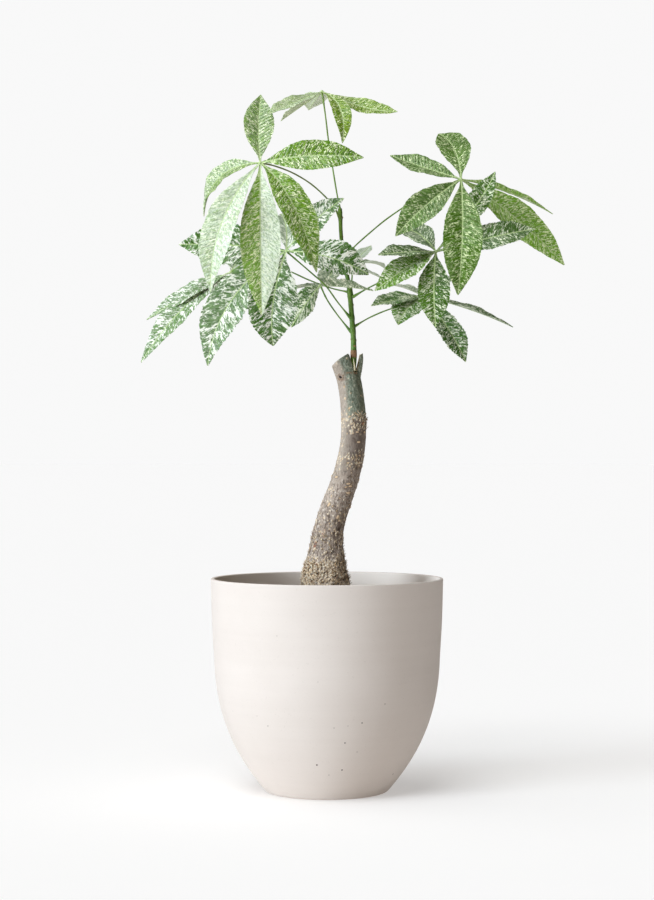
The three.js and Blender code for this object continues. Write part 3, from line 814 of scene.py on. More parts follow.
# %% Scales and flakes
def cells(points, size, seed):
    """At each point: how near the crack between two cells is, from 0 to 1, and a draw for its own cell."""
    near, own = [], []
    for p in (points.reshape(-1, 3) / size + seed).tolist():
        distances, middles_of = noise.voronoi(p)
        near.append(min(1.0, (distances[1] - distances[0]) * 2.2))
        own.append(noise.cell(Vector(middles_of[0]) * 7.3) * 0.5 + 0.5)
    return np.array(near).reshape(points.shape[:2]), np.array(own).reshape(points.shape[:2])


z = bare[:, :, 2]
flat_along = bare * [1, 1, 0.6]
low = step(-z, -292, -258)              # 1 at the flaky flare, 0 above it
rugged = step(-z, -420, -310)           # 1 on the lower half, 0 on the upper part
scale_edge, scale_draw = cells(flat_along, 4.2, 2.0)
chip_edge, chip_draw = cells(flat_along * [1, 1, 1.5], 2.3, 5.0)
lumps = rough(flat_along, 9, 1.0, 3)
wrinkle = rough(bare * [1, 1, 0.35], 2.2, 4.0, 3)
bands = np.exp(-((z - 443 - 3 * lumps) / 11) ** 2) + 0.75 * np.exp(-((z - 399 - 3 * lumps) / 8) ** 2)
flaky = np.clip(0.92 * low + 0.16 * rugged + 0.55 * bands + 0.05, 0, 1)
flake = step(chip_draw + 0.25 * lumps, 1.02 - flaky, 1.10 - flaky) * step(chip_edge, 0.1, 0.5)
relief = 0.9 * low * (scale_draw - 0.4) * scale_edge + low * 1.5 * flake * chip_edge * chip_draw
relief += (0.12 + 0.42 * rugged) * (scale_edge - 0.7) + 0.30 * rugged * lumps + 0.16 * wrinkle
relief += 0.30 * flake * (1 - low)
print("scales rise up to", relief.max().round(2), "mm")

# %% [markdown]
# ## Pores and scars
# Corky, pale breathing pores stand out of the bark, and some show at the trunk's edge as small bumps.
# Those that are seen are placed one by one, and smaller ones are drawn all over the trunk. A leaf that
# fell long ago left a round knot with a hole in it, and a seam that runs up to the right from there. All
# of them are soft masks on the trunk's skin, from a turn and a height.

# %% The pores
PORES = [       # degrees from the front towards the right, height, width, height of the spot, how proud
    (-44, 378, 3.0, 1.6, 0.7), (18, 370, 3.2, 1.5, 0.6), (30, 367, 3.0, 1.5, 0.6), (13, 366, 2.2, 1.3, 0.5),
    (32, 359, 3.4, 1.8, 0.8), (26, 420, 3.0, 1.6, 0.5), (62, 432, 2.8, 1.8, 0.7), (17, 432, 2.6, 1.4, 0.5),
    (-90, 379, 2.2, 2.4, 1.3), (86, 374, 2.0, 2.4, 1.0), (80, 342, 2.4, 2.4, 1.3), (88, 447, 2.0, 2.0, 0.8),
    (-8, 395, 2.0, 1.2, 0.4), (40, 404, 2.4, 1.4, 0.5), (-30, 345, 2.0, 3.4, 0.6), (22, 330, 2.2, 3.0, 0.6),
]
EXTRA_PORES = 46
FRONT = -90             # the grid's angle of the front, in degrees


def turns_from(turn):
    """How far each column of the grid is turned from a place, in degrees."""
    return (np.degrees(around) - FRONT - turn + 180) % 360 - 180


def spot(turn, height, wide, tall):
    """A soft round mask on the trunk's skin, from a turn, a height and two half sizes."""
    across = np.radians(turns_from(turn))[None, :] * middles[:, :, 3] / wide
    up = (z - height) / tall
    return np.exp(-(across ** 2 + up ** 2))


pores = np.zeros_like(z)
draw = np.random.default_rng(23)
for turn, height, wide, tall, proud in PORES:
    mask = spot(turn, height, wide * 0.95, tall * 0.85)
    relief += proud * mask
    pores = np.maximum(pores, mask)
for _ in range(EXTRA_PORES):
    turn, height, wide = draw.uniform(-180, 180), draw.uniform(300, 505), draw.uniform(0.7, 1.5)
    mask = spot(turn, height, wide, wide * draw.uniform(0.5, 0.9))
    relief += 0.35 * mask
    pores = np.maximum(pores, 0.9 * mask)
print(len(PORES) + EXTRA_PORES, "pores")

# %% The knot, the seam and the finished bark
KNOT_TURN, KNOT_HEIGHT, KNOT_RADIUS = -40, 498, 4.0     # the turn in degrees from the front
SEAM_TURNS, SEAM_RISE = [-40, 0, 55, 75], [0, 4.5, 6, 9]    # how far the seam is above the knot at each turn
RUST = [(-19, 312, 4.5), (-45, 297, 5.0)]   # turn, height and size of reddish bare spots
knot_far = np.sqrt(-np.log(np.maximum(spot(KNOT_TURN, KNOT_HEIGHT, KNOT_RADIUS, KNOT_RADIUS * 0.85), 1e-9)))
relief += 0.9 * np.exp(-((knot_far - 1) / 0.35) ** 2) - 1.6 * np.exp(-(knot_far / 0.55) ** 2)
knot = np.exp(-((knot_far - 0.9) / 0.4) ** 2) * step(lumps, -0.35, 0.25)
knot_hole = np.exp(-(knot_far / 0.55) ** 2)
turns = turns_from(0)
seam_height = KNOT_HEIGHT + np.interp(turns, SEAM_TURNS, SEAM_RISE)[None, :] + 1.2 * lumps
seam = np.exp(-((z - seam_height - 0.6 * wrinkle) / 1.1) ** 2) * ((turns > -34) & (turns < 75))[None, :]
relief += 0.35 * seam * (scale_edge - 0.5)
rust = sum(spot(turn, height, size * 0.6, size) for turn, height, size in RUST)
relief *= 1 - 0.7 * step(trunk_lengths, cut_lengths - 1.2, cut_lengths)     # smooth where the saw went
bark_grid = bare + outward * relief[:, :, None]
bark_grid[-1, :, 2] = wood_top(bark_grid[-1, :, 0], bark_grid[-1, :, 1])
print("relief from", relief.min().round(2), "to", relief.max().round(2), "mm")

# %% [markdown]
# ## Bare wood
# The cut shows bare wood, slightly torn by the saw along one direction. Rings of points shrink from the
# rim of the bark to the pith, and each lies on the height of cut and split. The bark's own numbers are 0
# there, and `wood` is 1, which the material turns into growth rings.

# %% The trunk's mesh, closed by its sawn and split wood
HEART = (19, 0)         # x and y of the pith in the saw cut
CUT_RINGS = 34
rim = bark_grid[-1]
loops = []
for share in np.linspace(1, 0, CUT_RINGS + 1)[1:-1]:
    x = HEART[0] + share * (rim[:, 0] - HEART[0])
    y = HEART[1] + share * (rim[:, 1] - HEART[1])
    torn = rough(np.stack([x * 3, y * 0.7, 0 * x], axis=-1), 3.0, 6.0, 3) * 0.35
    loops.append(np.column_stack([x, y, wood_top(x, y) + torn]))
trunk_grid = np.concatenate([bark_grid, np.array(loops)])
wood = np.zeros(trunk_grid.shape[:2])
wood[TRUNK_ROWS:] = 1
wood[TRUNK_ROWS - 1] = 0.5
bark_fields = {"relief": relief, "flake": flake, "pore": pores, "scar": np.maximum(knot, seam),
               "hole": knot_hole, "rust": rust, "sideways": outward[:, :, 0]}
padded = {key: np.pad(values, ((0, len(loops)), (0, 0))) for key, values in bark_fields.items()}
trunk = Shell(*bark_fields, "wood")
trunk.body(trunk_grid, wood=wood, **padded)
print(trunk.count, "points in the trunk")

# %% [markdown]
# ## Spur
# Right of the split a thin splinter of the old stem still stands. Its bark faces out, and the side that
# tore from the stub is bare, pale wood. It is a flat tube of its own whose foot is sunk in the trunk. A
# small pale sliver stands in the split beside it, made in the same way.

# %% The spur and the sliver
SPUR_LINE = [   # x, z, half width, half depth
    (31, 478, 5, 8), (35.5, 495, 4.6, 8.5), (38.6, 508, 4, 8), (40.6, 520, 3, 6.5), (40.9, 526, 2.2, 5),
]
SPUR_BACK, SPUR_SLANT, SPUR_SIDES, SPUR_ROWS = 2, 1.5, 64, 70
SLIVER_LINE = [(33.2, 506, 1.3, 2.0), (33.0, 512, 1.0, 1.6), (31.6, 520.5, 0.3, 0.5)]
SLIVER_BACK, SLIVER_SIDES, SLIVER_ROWS = -9.5, 20, 24
PALE_WOOD = 1.5         # the wood's number on torn, clean wood, where 1 is sawn and dirty


def splinter(line, back, sides, rows, slant, roughness, seed):
    """A flat tube between stations of [x, z, half width, half depth], with its angles and its bumps."""
    knots = [(x, wide, z, deep) for x, z, wide, deep in line]
    stations = smooth_line(knots, np.linspace(0, 1, rows))[0]
    turn = np.linspace(0, 2 * math.pi, sides, endpoint=False)
    x, wide, height, deep = (stations[:, i:i + 1] for i in range(4))
    right, forth = np.cos(turn), np.sin(turn)
    grid = np.stack([x + wide * right, back + deep * forth, height + slant * right], axis=2)
    bumps = roughness * rough(grid * [1, 1, 0.35], 1.8, seed, 3)
    grid[:, :, 0] += bumps * right
    grid[:, :, 1] += bumps * forth
    return grid, turn, bumps


spur_grid, turn, bumps = splinter(SPUR_LINE, SPUR_BACK, SPUR_SIDES, SPUR_ROWS, SPUR_SLANT, 0.4, 9.0)
spur_grid[-8:, :, 2] += 1.3 * rough(spur_grid[-8:], 2.0, 3.0, 2)
torn_side = step(-np.cos(turn), 0.35, 0.6)
torn_tip = np.linspace(0, 1, SPUR_ROWS)[:, None] > 0.97
trunk.body(spur_grid, relief=bumps, sideways=0.1, wood=np.maximum(torn_side, torn_tip) * PALE_WOOD)
sliver_grid = splinter(SLIVER_LINE, SLIVER_BACK, SLIVER_SIDES, SLIVER_ROWS, 0.0, 0.1, 2.0)[0]
trunk.body(sliver_grid, wood=PALE_WOOD)
print("the spur's tip is at", spur_grid[-1].mean(axis=0).round(1))

# %% [markdown]
# ## Curled flakes
# On the flare hundreds of small flakes of old bark stand off and curl, most of them tan, and a few sit on
# the bands higher up. As relief they would only be bumps. So each is a small ball pressed flat, leaned
# along the trunk, bent outwards and set on a point of the bark that is drawn within a range of heights
# and turns.

# %% The flakes
FLAKES = [      # how many, from and to height, from and to turn, size, stand-off, how tan at least
    (420, 244, 276, -180, 180, 2.4, 1.0, 0.2), (240, 268, 312, -180, 180, 1.5, 0.6, 0.1),
    (60, 300, 372, -180, 180, 1.2, 0.3, 0.1), (110, 246, 276, -125, -20, 3.0, 0.8, 0.9),
    # Front-left flakes low on the flare stay 0.9 tan at least: real tan, painted paler as painted light.
    (40, 434, 455, -12, 95, 2.2, 0.5, 0.2), (26, 391, 405, -20, 90, 1.5, 0.3, 0.1),
]
FLAKE_THICKNESS = 0.28  # half of it
FLAKE_POINTS, FLAKE_FACES = ball(1)
draw = np.random.default_rng(31)


def curled_flake(middle, out, size, stands):
    """Points of a flake on a point of the bark that faces out, up to a size and a stand-off."""
    along = unit(np.array([draw.normal(0, 0.5), draw.normal(0, 0.5), 1.0]))
    lean = unit(along - out * along.dot(out) + out * draw.uniform(-0.1, 0.6))
    flat_side = unit(np.cross(lean, out))
    long, wide = size * draw.uniform(0.7, 1.7), size * draw.uniform(0.35, 0.75)
    x, y, z = (FLAKE_POINTS[:, i:i + 1] for i in range(3))
    curl = x ** 2 * 0.5 * long * out
    thickness = z * FLAKE_THICKNESS * np.cross(flat_side, lean)
    raised = middle + out * stands * draw.uniform()
    return x * long * lean + y * wide * flat_side + thickness + curl + raised


for count, from_height, to_height, from_turn, to_turn, size, stands, tan_least in FLAKES:
    for _ in range(count):
        column = int(np.argmin(abs(turns - draw.uniform(from_turn, to_turn))))
        row = int(np.argmin(abs(bark_grid[:, column, 2] - draw.uniform(from_height, to_height))))
        out = outward[row, column]
        points = curled_flake(bark_grid[row, column], out, size, stands)
        trunk.add(points, FLAKE_FACES, relief=0.3, flake=draw.uniform(tan_least, 1.3),
                  rust=draw.uniform() > 0.93, sideways=out[0])
print(sum(row[0] for row in FLAKES), "flakes")

# %% [markdown]
# ## The bark's finish
# Grey-brown bark covers most of the trunk, in strands that run along it. Higher up, its right flank is
# painted darker as painted shade, so is a band across its middle, and its left flank is painted lighter
# as painted light. The young bark at the top is green-grey, painted darker on its right as painted shade.
# Height and the side that a point faces choose between them, and fine noises break every border up.

# %% Old and young bark
bark = finish("bark")
place = bark.place()
height_above = bark.parts(place)[2]
long_place = bark.stretch(place, (1, 1, 0.3))
side = bark.read("sideways")
fibre = bark.noise(long_place, 560, 3, 0.75)
mottle = bark.noise(place, 300, 4, 0.7)
broad = bark.noise(long_place, 45, 3, 0.5)
flank = side + broad - 0.5      # from the left flank to the right one, with a broken border
# Painted shade: the right flank, above about 0.38 m.
painted_shade_right = flank.step(-0.1, 0.7) * height_above.step(0.37, 0.40)
# Painted shade: a band across the middle of the trunk, from about 0.38 to 0.45 m high.
painted_shade_band = flank.step(-0.75, -0.3) * side.step(0.9, 0.3) * (mottle * 0.5 + 0.5)
painted_shade_band = painted_shade_band * (height_above + (broad - 0.5) * 0.04).step(0.370, 0.400) * height_above.step(0.455, 0.440)
# Painted light: the left flank, which faces the lamps.
painted_lit_left = flank.step(0.1, -0.6) * height_above.step(0.33, 0.42)
old_bark = bark.coats(
    bark.mix(broad.step(0.35, 0.65), "#9a8778", "#c0ad9d"),
    (mottle.step(0.52, 0.64) * 0.7, "#e6dbcc"),
    (fibre.step(0.49, 0.42) * 0.8, "#5a4c41"),
    # The last three coats are painted shade, painted shade and painted light.
    (painted_shade_right * 0.6, "#62544a"),
    (painted_shade_band * 0.85, "#5c4e44"),
    (painted_lit_left * 0.5, "#c8b8a6"))
young_bark = bark.coats(
    bark.mix(mottle.step(0.4, 0.62), "#6a7662", "#9fa793"),
    (fibre.step(0.54, 0.40) * 0.6, "#4a5444"),
    (fibre.step(0.55, 0.64) * 0.5, "#b9b39c"),
    # Painted shade: the young bark's right side is painted darker.
    (side.step(0.2, 0.75) * 0.55, "#53573f"))
young_side = side + (broad - 0.5) * 1.6 + (mottle - 0.5) * 0.8
young = young_side.step(-0.65, -0.05) * (height_above + (mottle - 0.5) * 0.03).step(0.445, 0.458)
print(len(bark.tree.nodes), "nodes so far")

# %% [markdown]
# ## Flakes, pores, scars and bare wood
# The numbers that the points carry lay the rest over it: tan flakes, pores with a dark edge and a pale
# middle, dark cracks, reddish bare spots, the brown scar, and its hole, which is painted near-black as
# painted shade. Bare wood has growth rings round the pith, and wood that tore is paler than wood that was
# sawn.

# %% The bark's colours
RINGS = 4200            # how fast the growth rings follow each other, as an angle to a metre
HEART_PLACE = [part * MM for part in (*HEART, 520)]
lift, flaked, pored, rusty, scar, hole, wood = [
    bark.read(name) for name in ("relief", "flake", "pore", "rust", "scar", "hole", "wood")]
bark_skin = bark.coats(
    old_bark,
    (young * 0.9, young_bark),
    ((flaked * 0.9).least(1), bark.mix(fibre.step(0.4, 0.6), "#dcb88c", "#fff0d4")),
    (pored.step(0.05, 0.3) * 0.5, "#5a4a3c"),
    (pored.step(0.4, 0.6) * 0.95, "#e2c29c"),
    (lift.step(-0.2, -0.6) * 0.7, "#45392f"),
    (rusty.step(0.3, 0.8) * mottle.step(0.42, 0.55) * 0.7, "#a86a4c"),
    (scar * mottle.step(0.42, 0.52) * 0.8, "#8a6040"),
    # Painted shade: the knot's shallow hole is painted near-black.
    (hole.step(0.3, 0.7), "#2f231b"))
rings = (bark.far(place, HEART_PLACE) * RINGS + fibre * 3).wave()
bare_wood = bark.coats(
    bark.mix(rings * 0.5, "#a88c6c", "#8a6f54"),
    (mottle.step(0.45, 0.7) * 0.6, "#6d5b4b"),
    (wood.step(1.1, 1.4), "#dccba6"))
bark_finish = bark.done({
    "Base Color": bark.mix(wood.step(0.3, 0.6), bark_skin, bare_wood), "Roughness": 0.86 - young * 0.12,
    "Specular IOR Level": 0.3, "Normal": bark.bump(fibre * 0.6 + mottle * 0.5, 0.0017)})
trunk.piece("cutting_trunk", bark_finish, "bark", "trunk", crease=180)

# %% [markdown]
# ## Shoot
# The shoot is a green stem, as thick as a pencil at its foot, with a slight swelling at each leaf, small
# brown bud scars, and a brown collar where it came out of the old wood. It is a round tube along the
# solid's own line. Its swellings, scars and collar are small lifts of the surface, and the scars are
# handed on to the material.

# %% The shoot
SHOOT_LINE = [  # x, y, z, radius
    (31.5, -3, 504, 3), (32, -1, 515, 3.5), (32.2, 0, 524, 3.7), (32, 0, 543, 3.2), (30.3, 0, 567, 3.1),
    (28.2, 0, 592, 3), (27, 0, 604, 2.8), (22.4, 0, 632, 2.5), (18, 0, 658, 2.3), (16, 0, 692, 2.4),
    (15.6, 0, 702, 2.4),
]
SHOOT_SIDES, SHOOT_ROWS = 40, 420
JOINTS = [553, 559, 570, 596, 601, 641, 691, 697]   # heights where a stalk leaves the shoot
SCARS = [       # height, degrees from the front, how proud it stands
    (528, 0, 1.6), (544, -80, 0.55), (543, 85, 0.6), (585.5, 80, 0.6), (691, 70, 0.9), (622, -70, 0.35),
    (536, 20, 0.3), (668, 60, 0.35),
]
SCAR_WIDTH, SCAR_HEIGHT = 38, 1.3       # half sizes, in degrees and in millimetres
COLLAR_FROM, COLLAR_TO = 523, 531       # heights
shoot_grid = tube(SHOOT_LINE, SHOOT_ROWS, SHOOT_SIDES)
z = shoot_grid[:, :, 2]
away = shoot_grid - shoot_grid.mean(axis=1, keepdims=True)
turns = np.degrees(np.arctan2(away[:, :, 0], -away[:, :, 1]))
scar_mask, proud = np.zeros_like(z), np.zeros_like(z)
for height, turn, stands in SCARS:
    off = (turns - turn + 180) % 360 - 180
    here = np.exp(-(off / SCAR_WIDTH) ** 2 - ((z - height) / SCAR_HEIGHT) ** 2)
    scar_mask, proud = np.maximum(scar_mask, here), proud + stands * here
swell = sum(0.45 * np.exp(-((z - height) / 3.0) ** 2) for height in JOINTS)
collar = step(z, COLLAR_FROM - 2, COLLAR_FROM) * step(-z, -COLLAR_TO - 1, -COLLAR_TO + 1)
wobble = 0.12 * rough(shoot_grid * [1, 1, 0.4], 3.0, 2.0, 2) + collar * 0.25 * rough(shoot_grid, 1.2, 5.0, 2)
away /= np.linalg.norm(away, axis=2, keepdims=True)
shoot_grid += away * (proud + swell + wobble + 0.2 * collar)[:, :, None]
shoot = Shell("scar", "tint", "sideways")
shoot.body(shoot_grid, scar=np.maximum(scar_mask, collar), sideways=away[:, :, 0])
print("the shoot is", round(z[-1].max() - z[0].min()), "mm long")

# %% [markdown]
# ## The leaves' places
# A money tree's leaf is a hand of leaflets that meet at one hub, at the end of a long stalk. Each is
# placed from the photograph, because no two are alike. A leaf is its hub, the way its upper side faces,
# how olive its stalk is, the stalk's route, and its leaflets. A leaflet is its tip, the middle of its
# midrib, its width, its own facing or None for the leaf's, and how pale its left and right halves are
# painted as it hangs: 0 is marbled as usual, 1 is painted nearly all pale, as a painted sheen and
# light, and below 0 the green is painted fresher, as painted light on halves that the lamps hardly reach.

# %% The leaves at the top, in front, at the right and in the middle
LEAVES = {
    "t": dict(hub=(-6, -5, 842), face=(-0.1, -0.5, 0.8), tint=0.25,
              stalk=[(15.8, 0, 696), (15.2, 0, 704), (12.6, -3, 716), (7, -5, 749), (2, -6, 781),
                     (-2, -6, 814)],
              blades=[((-68, -80, 803), (-39, -50, 821), 29, None, 0.35, 0.45),
                      ((-57, 60, 817), (-32, 35, 831), 24, (-0.3, -0.1, 0.9), 0.55, 0.55),
                      ((-23, 95, 836), (-14, 50, 842), 32, (0, 0.3, 0.9), 0.8, 0.8),
                      ((18, -60, 772), (16, -50, 813), 22, (0.2, -1, 0.1), 0.0, 0.0),
                      ((83, -55, 810), (44, -35, 818), 27, (0.1, -0.7, 0.6), 0.0, 0.0)]),
    "a": dict(hub=(-77, -110, 742), face=(0, -0.85, 0.5), tint=0.7,
              stalk=[(15.6, -1, 690), (8, -13, 703), (-2, -26, 713), (-20, -50, 726), (-43, -78, 736),
                     (-64, -98, 741)],
              blades=[((-78, -60, 829), (-80, -78, 787), 36, (0.1, -0.9, 0.3), 0.2, 0.15),
                      ((42, -125, 746), (-20, -125, 748), 36, (0, -0.95, 0.2), 0.0, 0.0),
                      ((-12, -120, 615), (-39, -135, 691), 40, (0.3, -0.9, 0.3), -0.15, -0.15),
                      ((-75, -118, 566), (-76, -140, 656), 46, (0.02, -1, 0.15), -0.5, 0.85),
                      ((-133, -135, 591), (-119, -150, 669), 40, (-0.3, -0.9, 0.3), 0.62, 0.8),
                      ((-145, -60, 686), (-125, -85, 728), 36, (-0.35, -0.65, 0.6), 0.4, 0.1)]),
    "b": dict(hub=(161, -10, 736), face=(0, -0.75, 0.6), tint=0.0,
              stalk=[(21, 2, 641), (31, 4, 654), (52, 2, 673), (76, -2, 692), (118, -6, 718)],
              blades=[((138, 75, 803), (156, 40, 779), 40, (0, -0.8, 0.5), 0.0, 0.0),
                      ((77, 30, 770), (118, 15, 753), 32, (0, -0.7, 0.7), 0.05, 0.05),
                      ((81, -55, 663), (117, -45, 700), 38, (-0.2, -0.95, 0.2), 0.05, 0.05),
                      ((153, -78, 592), (158, -84, 662), 46, (0.05, -1, 0.15), 0.0, 0.0),
                      ((288, 15, 635), (230, 10, 690), 42, (0.3, -0.95, 0.25), -0.6, -0.5),
                      ((280, 70, 703), (222, 45, 727), 30, (-0.05, -0.55, 0.83), -0.7, -0.7)]),
    "c": dict(hub=(-49, -15, 649), face=(0.05, -0.8, 0.6), tint=0.0,
              stalk=[(28, -3, 570), (13, -10, 588), (-2, -14, 608), (-19, -17, 623)],
              blades=[((-179, 5, 659), (-114, -5, 657), 50, (-0.1, -1, 0.1), 0.0, 0.0),
                      ((-142, -30, 511), (-114, -35, 588), 50, (-0.3, -0.95, 0.1), 0.15, 0.15),
                      ((-63, -70, 533), (-63, -70, 585), 58, (0, -1, 0.15), 0.0, 0.05),
                      ((49, -60, 617), (4, -50, 638), 46, (0.1, -0.9, 0.4), 0.0, 0.0),
                      ((20, -44, 709), (-18, -26, 681), 38, None, 0.1, 0.1),
                      ((-57, 60, 702), (-50, 30, 682), 34, None, 0.5, 0.5)]),
}
print(sum(len(leaf["blades"]) for leaf in LEAVES.values()), "leaflets on", len(LEAVES), "leaves")

# %% [markdown]
# ## The other leaves
# Most of the other five leaves hang lower or further back, and are seen only in part. The leaflets that
# nobody sees complete their hands, so that the plant is whole from every side.

# %% The leaves behind and below
LEAVES |= {
    "d": dict(hub=(-119, 60, 630), face=(-0.2, -0.7, 0.65), tint=0.1,
              stalk=[(27, 2, 601), (8, 26, 607), (-6, 43, 613), (-23, 50, 620), (-52, 56, 633),
                     (-95, 61, 643)],
              blades=[((-221, 40, 570), (-166, 40, 604), 30, (-0.3, -0.6, 0.68), 0.2, 0.2),
                      ((-226, 20, 517), (-176, 25, 582), 33, (-0.4, -0.85, 0.35), 0.15, 0.15),
                      ((-142, 120, 590), (-129, 100, 614), 30, (0, 0.5, 0.85), 0.3, 0.3),
                      ((-107, 150, 664), (-112, 105, 648), 30, (0.1, 0.1, 1), 0.3, 0.3),
                      ((-74, 110, 599), (-94, 95, 628), 30, (0.3, 0.2, 0.9), 0.3, 0.3)]),
    "e": dict(hub=(-8, 15, 610), face=(0, -0.5, 0.85), tint=0.0,
              stalk=[(29, 1, 553), (12, 9, 575), (0, 13, 593)],
              blades=[((54, -75, 597), (21, -35, 605), 42, (0, 0.4, 0.9), 0.0, 0.0),
                      ((-46, 60, 608), (-27, 40, 611), 24, (-0.2, -0.05, 1), 0.3, 0.3),
                      ((-44, 60, 562), (-23, 35, 593), 32, (-0.3, -0.9, 0.3), 0.0, 0.0),
                      ((14, 105, 642), (4, 65, 626), 30, (0, -0.3, 0.95), 0.3, 0.3)]),
    "f": dict(hub=(130, -30, 647), face=(0, -0.75, 0.6), tint=0.0,
              stalk=[(31, -2, 595), (45, -6, 603), (65, -11, 613), (99, -22, 631)],
              blades=[((93, 25, 679), (112, 0, 670), 32, (-0.1, -0.75, 0.65), 0.2, 0.2),
                      ((60, -75, 639), (92, -60, 643), 30, (-0.1, -0.6, 0.75), 0.05, 0.05),
                      ((56, -75, 597), (92, -65, 623), 34, (-0.2, -0.85, 0.5), -0.35, -0.35),
                      ((128, -62, 555), (126, -58, 601), 38, (0, -1, 0.25), -0.15, 0.0),
                      ((201, -25, 743), (176, -24, 700), 30, None, 0.0, 0.0),
                      ((249, -20, 675), (195, -25, 664), 36, (0.1, -0.85, 0.5), 0.05, 0.05)]),
    "g": dict(hub=(118, 25, 598), face=(0, -0.6, 0.8), tint=0.0,
              stalk=[(32, 1, 559), (52, 8, 571), (78, 15, 582), (104, 26, 588)],
              blades=[((53, -20, 583), (86, 5, 592), 32, (-0.1, -0.55, 0.8), 0.05, 0.05),
                      ((85, -25, 560), (98, -5, 582), 36, (-0.1, -0.8, 0.6), -0.2, -0.2),
                      ((166, -20, 516), (146, -10, 555), 32, (0.3, -0.9, 0.2), 0.0, 0.05),
                      ((228, 40, 561), (175, 40, 583), 28, (0.2, -0.25, 0.95), 0.2, 0.2),
                      ((149, 110, 631), (138, 75, 617), 28, (0.1, -0.2, 0.9), 0.2, 0.2),
                      ((78, 95, 617), (97, 65, 611), 28, (0, 0.2, 1), 0.5, 0.5)]),
    "h": dict(hub=(31, 70, 640), face=(0, -0.2, 1), tint=0.0,
              stalk=[(30, 4, 597), (30, 20, 612), (31, 45, 628)],
              blades=[((74, 110, 638), (56, 95, 645), 20, None, 0.8, 0.8),
                      ((70, 75, 623), (51, 75, 632), 16, None, 0.8, 0.8),
                      ((56, 135, 670), (44, 105, 656), 18, None, 0.7, 0.7),
                      ((-6, 110, 640), (13, 95, 645), 22, None, 0.7, 0.7),
                      ((23, 150, 651), (26, 110, 650), 22, None, 0.7, 0.7)]),
}
print(sum(len(leaf["blades"]) for leaf in LEAVES.values()), "leaflets on", len(LEAVES), "leaves")

# %% [markdown]
# ## The green stems' finish
# Shoot and stalks share one smooth, slightly glossy skin. It is fresh green higher up, streaked along the
# stem, and painted darker on its right side as painted shade. Scars are brown and rough, and a stalk's
# own tint makes it olive.

# %% The green stems' colours
green_stem = finish("green_stem")
place = green_stem.place()
scar, tint = green_stem.read("scar"), green_stem.read("tint")
streak = green_stem.noise(green_stem.stretch(place, (1, 1, 0.25)), 900, 3, 0.6)
patch = green_stem.noise(place, 70, 3, 0.5)
stem_colour = green_stem.coats(
    green_stem.mix(patch.step(0.35, 0.65), "#5f8a2e", "#7aa042"),
    (green_stem.parts(place)[2].step(0.60, 0.72) * 0.5, "#8cb440"),
    (streak.step(0.55, 0.7) * 0.35, "#9cbd78"),
    (streak.step(0.45, 0.3) * 0.35, "#3f6632"),
    # Painted shade: the right side of shoot and stalks is painted darker.
    (green_stem.read("sideways").step(-0.1, 0.7) * 0.75, "#36451a"),
    (tint, "#6d6a35"),
    (scar.step(0.35, 0.75), "#9a7452"))
stem_finish = green_stem.done({
    "Base Color": stem_colour, "Roughness": 0.42 + scar * 0.35, "Specular IOR Level": 0.45,
    "Normal": green_stem.bump(streak + scar * patch, 0.0003)})
shoot.piece("shoot_stem", stem_finish, "green_stem", "shoot", crease=180)

# %% [markdown]
# ## Stalks
# A stalk is thin and even, with a swollen foot on the shoot, a wider end under its leaflets and a faint
# knee just before that. So it is the same tube, with a radius that is scaled along its length.

# %% The stalks
STALK_RADIUS, STALK_BASE = 0.9, 2.0     # the even part, and the foot
STALK_SWELLING = 8      # mm over which foot and end fade out
STALK_END = 0.35        # how much wider the end is, as a share of the radius
KNEE_BEFORE, KNEE_REACH, KNEE = 14, 2.5, 0.25       # mm, mm, share of the radius
STALK_SIDES, STALK_STEP = 20, 1.5


def stalk(name, leaf):
    """A leaf's stalk, from inside the shoot to the hub."""
    knots = [(*point, STALK_RADIUS) for point in [*leaf["stalk"], leaf["hub"]]]
    length = even_shares(knots, 2)[1]

    def reach(at, turn):
        foot = (STALK_BASE / STALK_RADIUS - 1) * math.exp(-(at / STALK_SWELLING) ** 2)
        head = STALK_END * math.exp(-((length - at) / STALK_SWELLING) ** 2)
        knee = KNEE * math.exp(-((length - at - KNEE_BEFORE) / KNEE_REACH) ** 2)
        return 1 + foot + head + knee + 0.05 * np.sin(2 * turn + 0.2 * at)

    rows = max(30, int(length / STALK_STEP))
    far = np.linspace(0, 1, rows)[:, None]
    shell = Shell("scar", "tint", "sideways")
    shell.body(tube(knots, rows, STALK_SIDES, reach), scar=0.25 * np.exp(-(far * length / 2.5) ** 2),
               tint=leaf["tint"] * (0.35 + 0.65 * step(far, 0.1, 0.6)))
    shell.piece(f"stalk_{name}", stem_finish, "leaf_stalk", f"leaf_{name}_stalk", crease=180)
    return length


for name, leaf in LEAVES.items():
    print("stalk", name, "is", round(stalk(name, leaf)), "mm long")

# %% [markdown]
# ## Leaflets
# A leaflet is folded along its midrib like a shallow V. Its midrib is a curve through hub, middle and
# tip, and its width follows one outline, which is widest past the middle and drawn out to a point. Both
# are the solid's own formulas. The points lie in rows across, a little closer together at the midrib and
# the tip, where a leaflet bends most.

# %% The frame of a leaflet
BLADE_OUTLINE = [   # share of the length, share of the half width
    (0, 0.05), (0.07, 0.11), (0.17, 0.38), (0.3, 0.73), (0.44, 0.96), (0.57, 1), (0.71, 0.87), (0.83, 0.58),
    (0.93, 0.26), (1, 0.03),
]
ROWS, HALF_COLUMNS = 124, 9
CROWDING = 1.15         # draws the points a little to the tip and to the midrib
half_row = np.linspace(0, 1, HALF_COLUMNS + 1) ** CROWDING
ACROSS = np.concatenate([-np.linspace(1, 0, HALF_COLUMNS + 1) ** CROWDING, half_row[1:]])   # from -1 to 1
ALONG = 1 - (1 - np.linspace(0, 1, ROWS)) ** CROWDING   # from 0 at the hub to 1 at the tip


